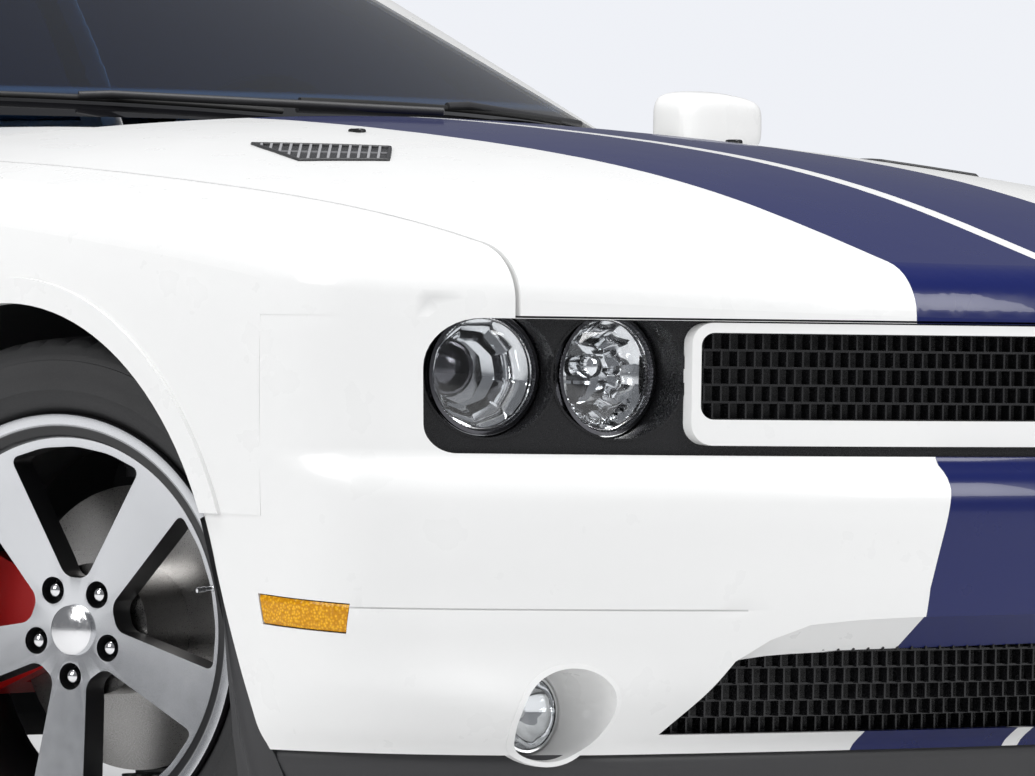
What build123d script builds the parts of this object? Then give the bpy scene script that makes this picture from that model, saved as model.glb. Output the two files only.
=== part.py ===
from build123d import *
from math import atan2, cos, degrees, hypot, radians, sin, sqrt, tan
import os

# Muscle coupe, two doors, full size. Millimetres, X forward, Y left, Z up.
# The origin is on the ground, below the middle of the car's length.

# Stance
WHEELBASE = 2946.0
FRONT_AXLE_X = 1546.0
REAR_AXLE_X = FRONT_AXLE_X - WHEELBASE
HALF_TRACK = 796.0
KINGPIN_Y = 730.0
STEER_REST = 15.0

# Body shell
SKIN = 24.0
PANEL_GAP = 6.0
HALF_GAP = PANEL_GAP / 2
SEAT_GAP = 0.3
FLOOR_Z = 205.0
SILL_TOP = 300.0
CHIN_Z = 250.0
NOSE_R = 1524.0
TAIL_R = 2600.0
NOSE_CORNER_R = 230.0
TAIL_CORNER_R = 200.0
TOP_EDGE_R = 70.0
INNER_EDGE_R = 14.0
HIP_FRONT_X = -430.0
HIP_REAR_X = -1150.0
DOOR_FRONT_X = 830.0
COWL_X = DOOR_FRONT_X
TOP_HALF_W = 1000.0
TOP_REF_Y = 785.0

# Plan outlines of the lower body: height, nose x, half width at doors, half width at hips, tail x
PLAN = (
    (180, 2380, 902, 914, -2400),
    (300, 2452, 926, 938, -2470),
    (440, 2478, 940, 951, -2500),
    (600, 2478, 948, 959, -2508),
    (740, 2474, 950, 961, -2495),
    (860, 2472, 938, 956, -2470),
    (960, 2470, 905, 936, -2450),
    (1060, 2468, 850, 905, -2440),
    (1150, 2466, 790, 865, -2430),
)
# Top of hood: x, height on the centre line, height at TOP_REF_Y
HOOD_TOP = (
    (2560, 800, 755),
    (2330, 858, 815),
    (2100, 920, 868),
    (1767, 976, 912),
    (1417, 1008, 940),
    (1100, 1022, 952),
    (COWL_X, 1010, 975),
)
# Top of waist and deck, same columns
DECK_TOP = (
    (COWL_X, 1010, 975),
    (0, 1015, 985),
    (-800, 1045, 1020),
    (-1500, 1088, 1055),
    (-2430, 1088, 1050),
    (-2560, 1080, 1040),
)

# Greenhouse sides: height, half width at its widest x
CABIN_SIDE = ((900, 905), (1180, 790), (1500, 530))
CABIN_SIDE_R = 5500.0
CABIN_WIDE_X = -450.0
# Roof: x, height on the centre line, height at ROOF_REF_Y
ROOF = (
    (1350, 1330, 1290),
    (300, 1415, 1368),
    (-350, 1450, 1402),
    (-900, 1415, 1368),
    (-1950, 1290, 1250),
)
ROOF_REF_Y = 560.0
ROOF_HALF_W = 950.0
SCREEN_BASE = (1085.0, 1000.0)
SCREEN_TOP = (130.0, 1400.0)
SCREEN_R = 1100.0
BACKLIGHT_BASE = (-1585.0, 1080.0)
BACKLIGHT_TOP = (-880.0, 1398.0)
BACKLIGHT_R = 2400.0
CABIN_WALL = 45.0
CABIN_EDGE_R = 30.0
GLASS_T = 6.0
GLASS_SET = 4.0

# Panel splits along X
DOOR_REAR_X = -480.0
DOOR_INNER_Y = 828.0
SILL_INNER_Y = 800.0
DOOR_TAPER = 18.0
FASCIA_SEAM_X = 2029.0
FASCIA_SEAM_Z = 519.0
HOOD_HALF_W = 800.0
HOOD_REAR_X = 1202.0
HOOD_REAR_R = 1500.0
HOOD_TAPER = 60.0
DECK_FRONT_X = -1640.0
DECK_HALF_W = 740.0
DECK_BOTTOM_Z = 960.0
REAR_SEAM_X = -2150.0
REAR_SEAM_Z = 700.0

# Wheel arches
ARCH_X_OFF = 3.0
ARCH_R = 403.0
ARCH_RUN = 75.0
UNDER_T = 20.0
LEDGE_W = 28.0
LIP_W = 32.0
LIP_OUT = 6.0
LINER_R = 426.0
LINER_T = 8.0
LINER_IN_Y = 466.0
REAR_LINER_IN_Y = 530.0
LINER_HOLE_R = 236.0

# Wheels
TYRE_R = 364.0
TYRE_W = 245.0
RIM_R = 262.0
RIM_W = 232.0
FLANGE_R = 269.0
SPOKES = 5
SPOKE_PHASE = 51.0
SPOKE_ROOT_W = 118.0
SPOKE_TIP_W = 150.0
SPOKE_T = 42.0
HUB_R = 78.0
CAP_R = 32.0
FACE_SET = 10.0
LUGS = 5
LUG_PCD = 115.0
LUG_R = 10.0
DISC_R = 178.0
DISC_T = 32.0
DISC_HAT_R = 82.0
DISC_Y_IN = 52.0
HUB_FACE_Y = 81.0
HAT_FACE_Y = -38.7
CALIPER_R = 222.0
CALIPER_IN_R = 112.0
CALIPER_W = 96.0
CALIPER_HALF_DEG = 24.0

# Front band with lamps and grille
BAND_Z0 = 605.0
BAND_Z1 = 759.0
BAND_HALF_W = 884.0
BAND_DEPTH = 55.0
LAMP_Z = 693.0
LAMP_R = 74.5
LAMP_OUTER_Y = 802.0
LAMP_INNER_Y = 643.0
LAMP_CUP_R = 84.0
LAMP_CUP_DEPTH = 70.0
GRILLE_Z0 = 611.0
GRILLE_Z1 = 755.0
GRILLE_HALF_W = 562.0
GRILLE_RIM = 22.0
GRILLE_CORNER_R = 26.0
BUMPER_Z = 560.0
BUMPER_OUT = 34.0

# Rear band with the tail lamps
TAIL_Z0 = 800.0
TAIL_Z1 = 930.0
TAIL_HALF_W = 850.0
PLATE_W = 310.0
PLATE_H = 160.0
PLATE_Z = 560.0
PLATE_X = -2511.0

# Openings in the nose
INTAKE_HALF_W = 640.0
INTAKE_Z0 = 270.0
INTAKE_Z1 = 390.0
INSERT_SET = 34.0
INSERT_T = 8.0
INSERT_LAP = 14.0
PANEL_T = 8.0
GRILLE_FACE = 8.0
NOSE_ROW = (0, 2476, 949, 960, -2505)
CHIN_ROW = (0, 2440, 922, 934, -2470)
CHIN_LOW_Z = 165.0
CHIN_T = 22.0
LAMP_YAW = 16.0
LENS_T = 6.0
LENS_DOME = 9.0
LAMP_FACE_X = 2300.0
FOG_POS = (2330.0, 720.0, 292.0)
FOG_R = 46.0
FOG_YAW = 28.0
FOG_DEPTH = 70.0
MARKER_X0 = 2018.0
MARKER_X1 = 2188.0
MARKER_Z0 = 386.0
MARKER_Z1 = 424.0
MARKER_T = 12.0

# Bumper bar: height, nose x, half width, drop of the tail end
BUMPER = (
    (CHIN_Z, 2440, 900),
    (330, 2470, 905),
    (430, 2490, 908),
    (540, 2511, 910),
    (575, 2504, 905),
    (BAND_Z0, 2468, 895),
)

# Window holes, bottom from rear to front and top from front to rear, then heights
DOOR_HOLE = (-470.0, 620.0, -20.0, -470.0, 990.0, 1352.0)
QUARTER_HOLE = (-930.0, -520.0, -520.0, -800.0, 1040.0, 1345.0)
SCREEN_HOLE = (700.0, 530.0, 1012.0, 1375.0)
BACK_HOLE = (640.0, 520.0, 1110.0, 1375.0)
GLASS_CLEAR = 0.5
DOOR_GLASS_CLEAR = 6.0
PANE_FRONT_CLEAR = 23.0
ROOF_RAIL_Y = 545.0
CABIN_OPEN_Y = 800.0

# Engine and underside
ENGINE = ((1010, 1640), (-300, 300), (300.3, 890))
BEAM_Z0 = 215.0
BEAM_Z1 = 300.0
ARM_Z0 = 148.0
ARM_T = 20.0
UPPER_ARM_Z = 564.0
BALL_FOOT_T = 12.0
ARM_BOSS_R = 30.0
ARM_IN_Y = 380.0
SPINDLE_R = 30.0
DAMPER_Y = 585.0
DAMPER_R = 38.0
PIPE_R = 32.0
MUFFLER = ((-2250, -1880), (330, 640), (180, 345))
MUFFLER_WELL_T = 14.0
MUFFLER_ROOM = 12.0
TIP_R = 45.0
TIP_Y = 560.0
TIP_Z = 295.0
TIP_CLEAR = 6.0

# Cabin
BELT_Z = 985.0
FLOOR_T = 30.0
FLOOR_NOSE_X = 1950.0
FLOOR_NOSE_Y = 820.0
SEAT_Y = 370.0
SEAT_W = 500.0
SEAT_X = 60.0
SEAT_Z = 285.0
WHEEL_AXIS_TILT = 24.0
STEERING_POS = (395.0, SEAT_Y, 905.0)
STEERING_R = 185.0
DASH_X = 520.0

os.makedirs("parts", exist_ok=True)
parts = {}


def polygon(points, plane, depth, both=False):
    """Prism of a closed outline drawn on a plane."""
    face = make_face(Polyline(*points, close=True))
    return extrude(plane * face, amount=depth, both=both)


def block(x, y, z):
    """Box from its lowest and highest x, y and z."""
    size = Box(x[1] - x[0], y[1] - y[0], z[1] - z[0])
    return Pos((x[0] + x[1]) / 2, (y[0] + y[1]) / 2, (z[0] + z[1]) / 2) * size


def both_sides(shape):
    """A shape and its mirror image across the car's middle plane."""
    return shape + mirror(shape, about=Plane.XZ)


def arc_about(cx, cy, p, q):
    """Arc from p to q on the circle about (cx, cy), the short way."""
    mx = (p[0] + q[0]) / 2 - cx
    my = (p[1] + q[1]) / 2 - cy
    scale_to = hypot(p[0] - cx, p[1] - cy) / hypot(mx, my)
    return ThreePointArc(p, (cx + mx * scale_to, cy + my * scale_to), q)


def plan_outline(row, off):
    """Closed plan outline of the lower body at one height, grown by off."""
    z, nose, door_w, hip_w, tail = row
    nose += off
    door_w += off
    hip_w += off
    tail -= off
    nose_r = NOSE_R + off
    front_r = NOSE_CORNER_R + off
    tail_r = TAIL_R + off
    rear_r = TAIL_CORNER_R + off
    nose_cx = nose - nose_r
    tail_cx = tail + tail_r
    front_x = nose_cx + sqrt((nose_r - front_r) ** 2 - (door_w - front_r) ** 2)
    rear_x = tail_cx - sqrt((tail_r - rear_r) ** 2 - (hip_w - rear_r) ** 2)
    k = nose_r / (nose_r - front_r)
    fx, fy = nose_cx + (front_x - nose_cx) * k, (door_w - front_r) * k
    k = tail_r / (tail_r - rear_r)
    gx, gy = tail_cx + (rear_x - tail_cx) * k, (hip_w - rear_r) * k
    hip = (HIP_FRONT_X + HIP_REAR_X) / 2
    edges = [ThreePointArc((fx, -fy), (nose, 0), (fx, fy)), ThreePointArc((gx, gy), (tail, 0), (gx, -gy))]
    for s in (1, -1):
        edges += [
            arc_about(front_x, s * (door_w - front_r), (fx, s * fy), (front_x, s * door_w)),
            Line((front_x, s * door_w), (HIP_FRONT_X, s * door_w)),
            TangentArc((HIP_FRONT_X, s * door_w), (hip, s * (door_w + hip_w) / 2), tangent=(-1, 0)),
            TangentArc((HIP_REAR_X, s * hip_w), (hip, s * (door_w + hip_w) / 2), tangent=(1, 0)),
            Line((HIP_REAR_X, s * hip_w), (rear_x, s * hip_w)),
            arc_about(rear_x, s * (hip_w - rear_r), (rear_x, s * hip_w), (gx, s * gy)),
        ]
    wire = Wire.combine([e.edge() for e in edges])[0]
    return Face(wire.moved(Location((0, 0, z))))


def crown_section(row, half_w, ref_y, floor, off):
    """Cross section with a crowned top, on a plane across the car."""
    x, centre, side = row
    edge_z = centre - (centre - side) * (half_w / ref_y) ** 2 + off
    top = centre + off
    wire = Wire([
        ThreePointArc((x, -half_w, edge_z), (x, 0, top), (x, half_w, edge_z)),
        Line((x, half_w, edge_z), (x, half_w, floor)),
        Line((x, half_w, floor), (x, -half_w, floor)),
        Line((x, -half_w, floor), (x, -half_w, edge_z)),
    ])
    return Face(wire)


def crowned(rows, half_w, ref_y, floor, off):
    """Smooth solid below a crowned surface given by cross sections."""
    return loft([crown_section(r, half_w, ref_y, floor, off) for r in rows])


def round_top(solid, rows, radius):
    """Round the edge between a body's sides and its crowned top."""
    lo = min(r[2] for r in rows) - 120
    ends = (rows[0][0], rows[-1][0])
    picked = []
    for e in solid.edges():
        b = e.bounding_box()
        flat = b.size.Z < 170 and (b.size.X > 60 or b.size.Y > 200)
        at_end = b.size.X < 2 and min(abs(b.min.X - x) for x in ends) < 2
        if flat and not at_end and b.min.Z > lo:
            picked.append(e)
    return solid.fillet(radius, picked)


def lower_body(off):
    """Body up to the waist, hood and deck, grown by off: its front and its rear."""
    plan = loft([plan_outline(r, off) for r in PLAN])
    halves = []
    for rows in (HOOD_TOP, DECK_TOP):
        half = (plan & crowned(rows, TOP_HALF_W, TOP_REF_Y, 100, off)).solid()
        halves.append(round_top(half, rows, max(TOP_EDGE_R + off, INNER_EDGE_R)))
    return halves


def screen_wedge(base, top, radius, side, off):
    """Space behind a screen that leans along its centre line and bows in plan."""
    run = (top[0] - base[0], 0, top[1] - base[1])
    lean = atan2(abs(run[2]), abs(run[0]))
    x0 = base[0] + side * off / sin(lean)
    r = radius + off
    sag_y = min(900.0, r - 60)
    sag = r - sqrt(r * r - sag_y * sag_y)
    deep = side * 3200
    face = make_face(Wire([
        ThreePointArc((x0 - side * sag, -sag_y), (x0, 0), (x0 - side * sag, sag_y)),
        Line((x0 - side * sag, sag_y), (x0 - deep, sag_y)),
        Line((x0 - deep, sag_y), (x0 - deep, -sag_y)),
        Line((x0 - deep, -sag_y), (x0 - side * sag, -sag_y)),
    ]))
    start = Pos(-run[0] * 0.4, 0, base[1] - run[2] * 0.4) * face
    length = hypot(run[0], run[2]) * 2.0
    return extrude(start, amount=length, dir=Vector(*run).normalized())


def cabin_side(off):
    """Solid between the leaning side faces of the greenhouse."""
    faces = []
    for z, w in CABIN_SIDE:
        w += off
        r = CABIN_SIDE_R + off
        x0, x1 = CABIN_WIDE_X + 1700, CABIN_WIDE_X - 1900
        y0 = w - (r - sqrt(r * r - 1700 ** 2))
        y1 = w - (r - sqrt(r * r - 1900 ** 2))
        wire = Wire([
            ThreePointArc((x0, y0), (CABIN_WIDE_X, w), (x1, y1)),
            Line((x1, y1), (x1, -y1)),
            ThreePointArc((x1, -y1), (CABIN_WIDE_X, -w), (x0, -y0)),
            Line((x0, -y0), (x0, y0)),
        ])
        faces.append(Face(wire.moved(Location((0, 0, z)))))
    return loft(faces)


def greenhouse(off):
    """Closed outer form of cabin roof, pillars and glass, grown by off."""
    form = cabin_side(off) & crowned(ROOF, ROOF_HALF_W, ROOF_REF_Y, 900, off)
    form = form & screen_wedge(SCREEN_BASE, SCREEN_TOP, SCREEN_R, 1, off)
    form = form & screen_wedge(BACKLIGHT_BASE, BACKLIGHT_TOP, BACKLIGHT_R, -1, off)
    return form.solid()



def x_range(x0, x1, z0=0.0, z1=1600.0):
    """Slab between two stations along the car."""
    return block((x0, x1), (-1100, 1100), (z0, z1))


def x_range_side(half_w):
    """Full-length slab between two upright planes at the same distance each side."""
    return block((-2700, 2700), (-half_w, half_w), (0, 1600))


def arch_prism(axle_x, radius, y0, y1):
    """Round prism across the car at a wheel arch, from y0 to y1."""
    disc = Plane.XZ.offset(-y1) * Pos(axle_x, TYRE_R) * Circle(radius)
    return extrude(disc, amount=y1 - y0)


def arch_opening(axle_x, radius, y0, y1, front_run=0.0):
    """Arch opening with its mouth down to the ground, leaning forward at the front."""
    mouth = [(-radius, TYRE_R), (radius, TYRE_R), (radius + front_run, 100), (-radius, 100)]
    points = [(axle_x + x, z) for x, z in mouth]
    lower = extrude(Plane.XZ.offset(-y1) * make_face(Polyline(*points, close=True)), amount=y1 - y0)
    return arch_prism(axle_x, radius, y0, y1) + lower


def hood_edge(grow):
    """Plan outline of the hood opening, grown by grow."""
    half = HOOD_HALF_W + grow
    rear = HOOD_REAR_X - grow
    sag = HOOD_REAR_R - sqrt(HOOD_REAR_R ** 2 - half ** 2)
    wire = Wire([
        ThreePointArc((rear - sag, -half), (rear, 0), (rear - sag, half)),
        Line((rear - sag, half), (2700, half - HOOD_TAPER)),
        Line((2700, half - HOOD_TAPER), (2700, -half + HOOD_TAPER)),
        Line((2700, -half + HOOD_TAPER), (rear - sag, -half)),
    ])
    return extrude(Pos(0, 0, BAND_Z1 + grow * -1) * make_face(wire), amount=500)


def body_shells():
    """Outer and inner forms of the lower body, front and rear of the cowl."""
    forms = {}
    depths = {"skin": 0, "inner": -SKIN, "under": -SKIN - SEAT_GAP, "well": -SKIN - UNDER_T, "lip": LIP_OUT}
    for name, off in depths.items():
        forms[name] = lower_body(off)
    return forms


def side_block(s, y0, y1, x0, x1, z0, z1):
    """Block on one side of the car; s is 1 for left and -1 for right."""
    return block((x0, x1), sorted((s * y0, s * y1)), (z0, z1))


def front_panels(forms):
    """Hood, cowl, fenders and front fascia."""
    skin, inner, lip = forms["skin"][0], forms["inner"][0], forms["lip"][0]
    arch_x = FRONT_AXLE_X + ARCH_X_OFF
    opening = both_sides(arch_opening(arch_x, ARCH_R, 600, 1100, ARCH_RUN))
    shell = skin - inner - opening
    parts["hood"] = (skin - inner) & hood_edge(-HALF_GAP)

    hood_hole = hood_edge(HALF_GAP)
    rest = shell - hood_hole
    seam = x_range(FASCIA_SEAM_X, 2700) + x_range(arch_x + ARCH_R - 60, 2700, 0, FASCIA_SEAM_Z)
    band = block((1800, 2700), (-BAND_HALF_W, BAND_HALF_W), (BAND_Z0, BAND_Z1))
    bumper = bumper_bulge() - inner
    fascia = (rest & seam) + (bumper & x_range(FASCIA_SEAM_X, 2700))
    intake = block((2000, 2700), (-INTAKE_HALF_W, INTAKE_HALF_W), (INTAKE_Z0, INTAKE_Z1))
    fascia = fascia - band - intake - x_range(0, 2700, 0, CHIN_Z)
    parts["front_fascia"] = fascia

    cowl_zone = block((DOOR_FRONT_X, HOOD_REAR_X + 60), (-HOOD_HALF_W + 30, HOOD_HALF_W - 30), (900, 1100))
    cowl = (forms["under"][0] - forms["well"][0]) & cowl_zone
    parts["cowl_panel"] = cowl - screen_wedge(SCREEN_BASE, SCREEN_TOP, SCREEN_R, 1, SEAT_GAP)

    fender = (rest - seam) & x_range(DOOR_FRONT_X + HALF_GAP, 2700, SILL_TOP, 1300)
    for name, s in (("left", 1), ("right", -1)):
        panel = fender & side_block(s, HOOD_HALF_W * 0.6, 1100, 0, 2700, 0, 1300)
        zone = arch_opening(arch_x, ARCH_R + LIP_W, *sorted((s * 850, s * 1100)), ARCH_RUN)
        ring = (lip - skin) & zone & x_range(DOOR_FRONT_X + 60, 2700, SILL_TOP, 1000)
        parts["fender_" + name] = panel + (ring - opening - seam)


def bumper_bulge():
    """Rounded bumper bar that stands forward of the nose below the lamp band."""
    rows = [(z, nose, w, w + 6, -2400) for z, nose, w in BUMPER]
    bar = loft([plan_outline(r, 0) for r in rows])
    return bar & block((FASCIA_SEAM_X, 2700), (-900, 900), (0, 1000))


def rear_panels(forms):
    """Doors, quarters with sills, deck lid and rear fascia."""
    skin, inner = forms["skin"][1], forms["inner"][1]
    opening = both_sides(arch_opening(REAR_AXLE_X, ARCH_R, 600, 1100))
    shell = skin - inner
    deck_zone = block((-2700, DECK_FRONT_X), (-DECK_HALF_W, DECK_HALF_W), (DECK_BOTTOM_Z, 1300))
    deck_hole = block((-2700, DECK_FRONT_X + PANEL_GAP),
                      (-DECK_HALF_W - PANEL_GAP, DECK_HALF_W + PANEL_GAP), (DECK_BOTTOM_Z - PANEL_GAP, 1300))
    parts["deck_lid"] = shell & deck_zone
    tail_zone = block((-2700, -2200), (-TAIL_HALF_W, TAIL_HALF_W), (TAIL_Z0, TAIL_Z1))
    parts["tail_lamps"] = shell & tail_zone
    ledge = (forms["under"][1] - forms["well"][1]) & block(
        (-2700, DECK_FRONT_X + LEDGE_W), (-DECK_HALF_W - LEDGE_W, DECK_HALF_W + LEDGE_W), (DECK_BOTTOM_Z, 1300))
    ledge -= block((-2440, DECK_FRONT_X - LEDGE_W), (-DECK_HALF_W + LEDGE_W, DECK_HALF_W - LEDGE_W), (700, 1300))
    ledge = ledge & x_range(-2330, 0)
    open_top = block((-1900, DOOR_REAR_X + 200), (-CABIN_OPEN_Y, CABIN_OPEN_Y), (700, 1300))
    open_top -= x_range(-1900, DECK_FRONT_X + PANEL_GAP + 40)
    rest = shell - opening - deck_hole - tail_zone - open_top
    seam = x_range(-2700, REAR_SEAM_X, 0, REAR_SEAM_Z) + x_range(-2700, -2330, 0, 1300)
    fascia = (rest & seam) - x_range(-2700, 0, 0, CHIN_Z)
    for s in (1, -1):
        fascia -= Pos(-2300, s * TIP_Y, TIP_Z) * Rot(0, 90, 0) * Cylinder(TIP_R + TIP_CLEAR, 600)
    pad = block((PLATE_X, PLATE_X + 40), (-PLATE_W / 2, PLATE_W / 2), (PLATE_Z - PLATE_H / 2, PLATE_Z + PLATE_H / 2))
    parts["rear_fascia"] = fascia + (pad - inner)
    quarter = (rest - seam) & x_range(-2700, DOOR_REAR_X - HALF_GAP, SILL_TOP, 1300)

    wedge = [(DOOR_REAR_X + HALF_GAP, 980), (DOOR_FRONT_X - HALF_GAP, 980), (DOOR_FRONT_X - HALF_GAP, DOOR_INNER_Y),
             (DOOR_REAR_X + HALF_GAP + DOOR_TAPER, DOOR_INNER_Y)]
    sill_zone = x_range(REAR_AXLE_X + ARCH_R + 2, FRONT_AXLE_X - ARCH_R, FLOOR_Z, SILL_TOP)
    sills = ((skin + forms["skin"][0]) & sill_zone) - x_range_side(SILL_INNER_Y)
    frame = pillars()
    for name, s in (("left", 1), ("right", -1)):
        zone = make_face(Polyline(*[(x, s * y) for x, y in wedge], close=True))
        zone = extrude(Pos(0, 0, SILL_TOP + PANEL_GAP) * zone, amount=BELT_Z + 60 - SILL_TOP)
        parts["door_" + name] = skin & zone
        half = side_block(s, 400, 1100, -2700, 2000, 0, 1500)
        parts["body_side_" + name] = ((quarter + ledge) & half) + (sills & half) + (frame & half)
    return frame


def window_side(x0, x1, x2, x3, z0, z1):
    """Side window outline as a prism across the car: bottom x0 to x1, top x2 to x3."""
    face = make_face(Polyline((x0, z0), (x1, z0), (x2, z1), (x3, z1), close=True))
    return extrude(Plane.XZ * face, amount=1000, both=True)


def window_end(y0, y1, z0, z1, x0, x1):
    """Window outline seen from the front, as a prism along the car."""
    face = make_face(Polyline((-y0, z0), (y0, z0), (y1, z1), (-y1, z1), close=True))
    return extrude(Plane.YZ.offset(x0) * face, amount=x1 - x0)


def pillars():
    """Greenhouse frame with its windows cut, and the panes and roof that fill it."""
    outer = greenhouse(0)
    frame = outer - greenhouse(-CABIN_WALL)
    glass = greenhouse(-GLASS_SET) - greenhouse(-GLASS_SET - GLASS_T)
    grow = GLASS_CLEAR
    screen = window_end(*SCREEN_HOLE, 0, 1400)
    back = window_end(*BACK_HOLE, -2000, -800)
    door_win = window_side(*DOOR_HOLE)
    quarter_win = window_side(*QUARTER_HOLE)
    frame = frame - screen - back - door_win - quarter_win
    parts["roof_panel"] = frame & block((-1300, 500), (-ROOF_RAIL_Y, ROOF_RAIL_Y), (1300, 1600))
    frame = frame - block((-1300, 500), (-ROOF_RAIL_Y, ROOF_RAIL_Y), (900, 1600))
    low = x_range(-2700, DOOR_FRONT_X - HALF_GAP, BELT_Z + 10, 1600)
    a, b, c, d = SCREEN_HOLE
    parts["windscreen"] = glass & window_end(a - grow, b - grow, c + grow, d - grow, 0, 1400)
    a, b, c, d = BACK_HOLE
    parts["rear_window"] = glass & window_end(a - grow, b - grow, c + grow, d - grow, -2000, -800)
    x0, x1, x2, x3, z0, z1 = QUARTER_HOLE
    parts["quarter_glass"] = glass & window_side(x0 + grow, x1 - grow, x2 - grow, x3 + grow, z0 + grow, z1 - grow)
    x0, x1, x2, x3, z0, z1 = DOOR_HOLE
    k = DOOR_GLASS_CLEAR
    pane = glass & window_side(x0 + k, x1 - PANE_FRONT_CLEAR, x2 - 2, x3 + k, z0 + k, z1 - k)
    parts["door_glass_left"] = pane & side_block(1, 400, 1100, -1000, 1000, 900, 1500)
    parts["door_glass_right"] = pane & side_block(-1, 400, 1100, -1000, 1000, 900, 1500)
    return frame & low




def nose_prism(row, off, z0, z1):
    """Upright prism of one plan outline, grown by off."""
    return extrude(Pos(0, 0, z0) * plan_outline(row, off), amount=z1 - z0)


def nose_layer(row, outer, inner, z0, z1):
    """Skin that follows the nose's plan curve between two depths behind it."""
    layer = nose_prism(row, -outer, z0, z1) - nose_prism(row, -inner, z0, z1)
    return layer & block((1700, 2700), (-1100, 1100), (z0, z1))


def front_window(half_w, z0, z1, radius):
    """Rounded opening seen from the front, as a prism along the car."""
    face = Pos(0, (z0 + z1) / 2) * RectangleRounded(2 * half_w, z1 - z0, radius)
    return extrude(Plane.YZ.offset(1700) * face, amount=1000)


def lamp_place(y):
    """Placement of a lamp: local X points out of its glass."""
    s = 1 if y > 0 else -1
    x = LAMP_FACE_X - (abs(y) - LAMP_INNER_Y) * tan(radians(LAMP_YAW) * 0.75)
    return Pos(x, y, LAMP_Z) * Rot(0, 0, s * LAMP_YAW) * Rot(0, 90, 0)


def nose_details(forms):
    """Lamp panel, lamps, grilles, chin spoiler, fog lamps and markers."""
    cups = []
    housings = []
    lenses = []
    below_hood = x_range(0, 2700, 0, BAND_Z1 - SEAT_GAP)
    for y in (LAMP_OUTER_Y, LAMP_INNER_Y, -LAMP_INNER_Y, -LAMP_OUTER_Y):
        place = lamp_place(y)
        cups.append(place * Pos(0, 0, -LAMP_CUP_DEPTH) * Cylinder(LAMP_R, 200, align=(Align.CENTER, Align.CENTER, Align.MIN)))
        profile = make_face(Polyline(
            (0, -LAMP_CUP_DEPTH), (LAMP_R * 0.6, -LAMP_CUP_DEPTH), (LAMP_R - SEAT_GAP, -22), (LAMP_R - SEAT_GAP, 0),
            (LAMP_R - 7, 0), (LAMP_R - 7, -20), (LAMP_R * 0.55, -LAMP_CUP_DEPTH + 6), (0, -LAMP_CUP_DEPTH + 6),
            close=True))
        housings.append((place * revolve(Plane.XZ * profile, Axis.Z)) & below_hood)
        lens_r = LAMP_R - 7 - SEAT_GAP
        ball_r = (lens_r ** 2 + LENS_DOME ** 2) / (2 * LENS_DOME)
        dome = Pos(0, 0, LENS_DOME - ball_r) * (Sphere(ball_r) - Sphere(ball_r - LENS_T))
        dome = dome & Pos(0, 0, LENS_DOME) * Cylinder(lens_r, 3 * LENS_DOME)
        lenses.append((place * Pos(0, 0, -8) * dome) & below_hood)
    panel = nose_layer(NOSE_ROW, BAND_DEPTH, BAND_DEPTH + PANEL_T, BAND_Z0, BAND_Z1)
    panel = panel & block((1800, 2700), (-BAND_HALF_W, BAND_HALF_W), (BAND_Z0, BAND_Z1))
    hole = front_window(GRILLE_HALF_W - GRILLE_RIM, GRILLE_Z0 + GRILLE_RIM, GRILLE_Z1 - GRILLE_RIM, 12)
    panel = panel - hole
    for cup in cups:
        panel = panel - cup
    parts["lamp_panel"] = panel
    parts["headlamps"] = Compound(children=[h.solid() for h in housings])
    parts["lamp_lenses"] = Compound(children=[g.solid() for g in lenses])

    outer = front_window(GRILLE_HALF_W, GRILLE_Z0, GRILLE_Z1, GRILLE_CORNER_R)
    frame = nose_layer(NOSE_ROW, GRILLE_FACE, BAND_DEPTH, GRILLE_Z0, GRILLE_Z1) & outer
    parts["grille_frame"] = frame - hole
    insert = nose_layer(NOSE_ROW, INSERT_SET, INSERT_SET + INSERT_T, GRILLE_Z0, GRILLE_Z1) & hole
    low = (forms["under"][0] - forms["well"][0]) & block(
        (1800, 2700), (-INTAKE_HALF_W - INSERT_LAP, INTAKE_HALF_W + INSERT_LAP),
        (INTAKE_Z0 - INSERT_LAP, INTAKE_Z1 + INSERT_LAP))
    parts["grille_inserts"] = Compound(children=[insert.solid(), low.solid()])

    chin = nose_layer(CHIN_ROW, 14, 14 + CHIN_T, CHIN_LOW_Z, CHIN_Z)
    parts["chin_spoiler"] = chin & block((FASCIA_SEAM_X + 20, 2700), (-1100, 1100), (0, 1000))

    fogs = []
    for s in (1, -1):
        place = Pos(FOG_POS[0], s * FOG_POS[1], FOG_POS[2]) * Rot(0, 0, s * FOG_YAW) * Rot(0, 90, 0)
        hole = place * Pos(0, 0, -FOG_DEPTH) * Cylinder(FOG_R, 300, align=(Align.CENTER, Align.CENTER, Align.MIN))
        parts["front_fascia"] = parts["front_fascia"] - hole
        lamp = Cylinder(FOG_R - SEAT_GAP, 40, align=(Align.CENTER, Align.CENTER, Align.MAX))
        fogs.append((place * lamp).solid())
    parts["fog_lamps"] = Compound(children=fogs)


def markers(forms):
    """Side marker lamps let into the fascia and the quarters."""
    skin = forms["skin"][0]
    set_in = lower_body(-MARKER_T)[0]
    zone = block((MARKER_X0, MARKER_X1), (-1100, 1100), (MARKER_Z0, MARKER_Z1))
    parts["side_markers"] = (skin - set_in) & zone & x_range(FASCIA_SEAM_X - 40, 2250)
    parts["front_fascia"] = parts["front_fascia"] - ((skin - set_in) & zone)


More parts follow.
